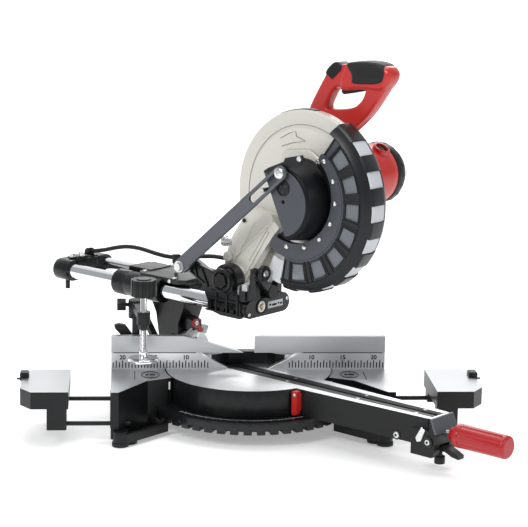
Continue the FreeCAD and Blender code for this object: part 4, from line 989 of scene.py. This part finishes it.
def link_details():
    """Slotted bar from its hinge on the front bracket (low) to its bolt on the drum (top)."""
    top, low = (-126.0, 423.5), (77.0, 251.0)
    reach = math.hypot(top[0] - low[0], top[1] - low[1])
    angle = math.atan2(top[1] - low[1], top[0] - low[0])
    c, s = math.cos(angle), math.sin(angle)

    def bar(points):
        """Turns (along, across) points of the bar into the side plane."""
        return [(low[0] + c * a - s * b, low[1] + s * a + c * b) for a, b in points]

    outline = arc((0, 0), 11, 90, 270, 16) + arc((reach, 0), 11, -90, 90, 16)
    slot_low, slot_high = 196, 255.5
    slot = arc((slot_low, 0), 6.2, 90, 270, 12) + arc((slot_high, 0), 6.2, -90, 90, 12)
    piece = plate("guard_link", "x", [bar(outline), bar(slot)], -82, -77, LINK, "link", 0.8)
    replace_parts(piece, "link_bar")
    flange = Draft()
    for b in (-11, 9.6):
        flange.prism("x", bar([(8, b), (200, b), (200, b + 1.4), (8, b + 1.4)]), -82.6, -76)
    flange.make("link_edges", LINK, "link", 0.3)
    hex_heads("link_lower_bolt", [(-82, *low)], "-x", 7.0, 5.0, ZINC, "link")
    screw_heads("link_upper_bolt", [(-82, *top)], "-x", 8.6, 4.4, ZINC, "link", socket=0.35)
    Draft().rod("x", low, -82, -58.6, 3.9, 0.4).make("link_pivot", STEEL, "link")


def motor_details():
    """Motor shell, end cap and the two brush caps, which lean off the vertical."""
    housing = Draft()
    housing.spin("x", MOTOR, [(62.4, 9), (62.4, 46), (64, 48), (96, 48), (96.6, 47.2), (98, 47.2),
                              (98.6, 48), (160, 48), (172, 47.4), (174, 46.6), (174, 41),
                              (68, 41), (68, 9)], 96)
    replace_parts(housing.make("motor_shell", RED, "head"), "motor_housing")
    for k, turn in enumerate((30, 210)):
        lean = (TURNED @ Matrix.Translation(Vector((156, *MOTOR)) * MM)
                @ Matrix.Rotation(math.radians(turn), 4, "X"))
        boss = Draft(lean)
        boss.spin("z", (0, 0), [(38, 14.5), (48, 14.2), (52.2, 13.4), (52.8, 12.4), (52.8, 10.6),
                                (47.5, 10.2), (38, 10.2)], 40)
        boss.make("brush_boss_%d" % k, RED, "head")
        cap = Draft(lean)
        cap.spin("z", (0, 0), [(40, 10.2), (49.0, 10.2), (49.6, 9.4), (49.6, 0)], 32)
        cap.box(-1.1, 1.1, -7, 7, 49.6, 50.4)
        cap.make("brush_cap_%d" % k, BLACK, "head")
    cap = Draft()
    cap.spin("x", MOTOR, [(174.2, 42), (174.2, 47.6), (176, 48.4), (188, 48), (199, 42),
                          (207, 31), (209, 18), (209.4, 0)], 96)
    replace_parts(cap.make("motor_cap", BLACK, "head"), "motor_end_cap")
    slots = Draft()
    for i in range(18):
        slots.prism("x", tick(MOTOR, 46.9, 48.7, 20 * i, 3, 3), 177, 188)
    slots.make("motor_cap_ribs", DARK, "head", 0.4)
    seam = Draft()
    seam.spin("x", MOTOR, [(120, 47.9), (120, 48.5), (122, 48.5), (122, 47.9)], 96, closed=True)
    seam.make("motor_band", RED, "head")
    screw_heads("motor_screws", [(172.2, *polar(MOTOR, 44, a)) for a in (45, 135, 225, 315)], "+x",
                2.4, 1.2, ZINC, "head")


def smooth(points, rounds=2):
    """Rounds the corners of an outline by cutting a fifth off each side, again and again."""
    for _ in range(rounds):
        cut = []
        for (y0, z0), (y1, z1) in zip(points, points[1:] + points[:1]):
            cut += [(0.8 * y0 + 0.2 * y1, 0.8 * z0 + 0.2 * z1),
                    (0.2 * y0 + 0.8 * y1, 0.2 * z0 + 0.8 * z1)]
        points = cut
    return points


def handle_details():
    """Two-part handle loop with rubber grip, trigger and lock-off switch."""
    outer = [(-72, 501), (-111, 567), (-122, 575), (-145, 578.5), (-181, 580), (-218, 580),
             (-233, 573), (-231, 560), (-193, 506), (-168, 483.5), (-152, 470), (-150, 432),
             (-90, 428), (-76, 480)]
    inner = [(-105.5, 507), (-126, 544), (-144, 540), (-186, 546), (-179, 527), (-163, 513.5),
             (-128, 507.4)]
    top = [(-137, 540), (-137, 560), (-147, 578.5), (-159, 580.5), (-181, 583), (-205, 583.3),
           (-225, 580.5), (-233, 571), (-231, 560), (-219, 543.5), (-186, 544), (-144, 538)]
    bars = [smooth(outer), smooth(inner)]
    thin, thick, padded = (43, 65), (39, 69), (37.2, 70.8)      # x of the two faces
    halves = (("near", (53.85, True)), ("far", (54.15, False)))     # where the seam cuts each
    for half, seam in halves:
        shell = plate("handle_" + half, "x", bars, *thin, RED, "head", 4.0, cut=seam)
        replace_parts(shell, "handle_%s_shell" % half)
    for half, seam in halves:
        plate("handle_top_" + half, "x", [smooth(top)], *thick, RED, "head", 6.0, cut=seam)
    grip = [(-158, 547.5), (-161, 562), (-149, 577), (-151, 582), (-181, 586), (-205, 586),
            (-219, 583), (-226, 573), (-220, 552.5)]
    piece = plate("grip_cover", "x", [smooth(grip)], *padded, SOFT, "head", 6.0)
    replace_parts(piece, "rubber_grip")
    dots = Draft()
    for row in range(5):
        for k in range(15):
            y, z = -170 - 3.5 * k, 562 + 0.2 * k + 3.0 * row
            for x in (36.7, 70.2):
                dots.rod("x", (y, z), x, x + 1.1, 0.7, 0.2, 8)
    dots.make("grip_dots", BLACK, "head")
    lever = [(-136, 531), (-156, 535), (-182, 541), (-197, 547.5), (-197, 555), (-136, 552)]
    piece = plate("trigger_lever", "x", [smooth(lever, 1)], 47, 61, BLACK, "power_trigger", 1.5)
    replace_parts(piece, "trigger")
    switch = [(-107, 561), (-112, 570), (-123, 579.5), (-131, 581), (-142, 574), (-121, 553.5)]
    piece = plate("lock_off_switch", "x", [smooth(switch, 1)], 42, 66, BLACK, "lock_off", 1.5)
    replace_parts(piece, "lock_off_button")
    ridges = Draft()
    for k in range(7):
        y, z = -110.5 - 2.7 * k, 561 + 2.45 * k
        outline = [(y, z), (y - 1.1, z + 1.0), (y - 12.6, z - 6.6), (y - 11.5, z - 7.6)]
        for x in (41.3, 65.5):
            ridges.prism("x", outline, x, x + 1.2)
    ridges.make("lock_off_ridges", DARK, "lock_off", 0.2)


make_stage()
base_details()
turntable_details()
clamp_details()
column_details()
slide_details()
head_details()
drum_details()
lower_guard_plates()
lower_guard_windows()
lower_guard_rim()
lower_guard_rivets()
link_details()
motor_details()
handle_details()
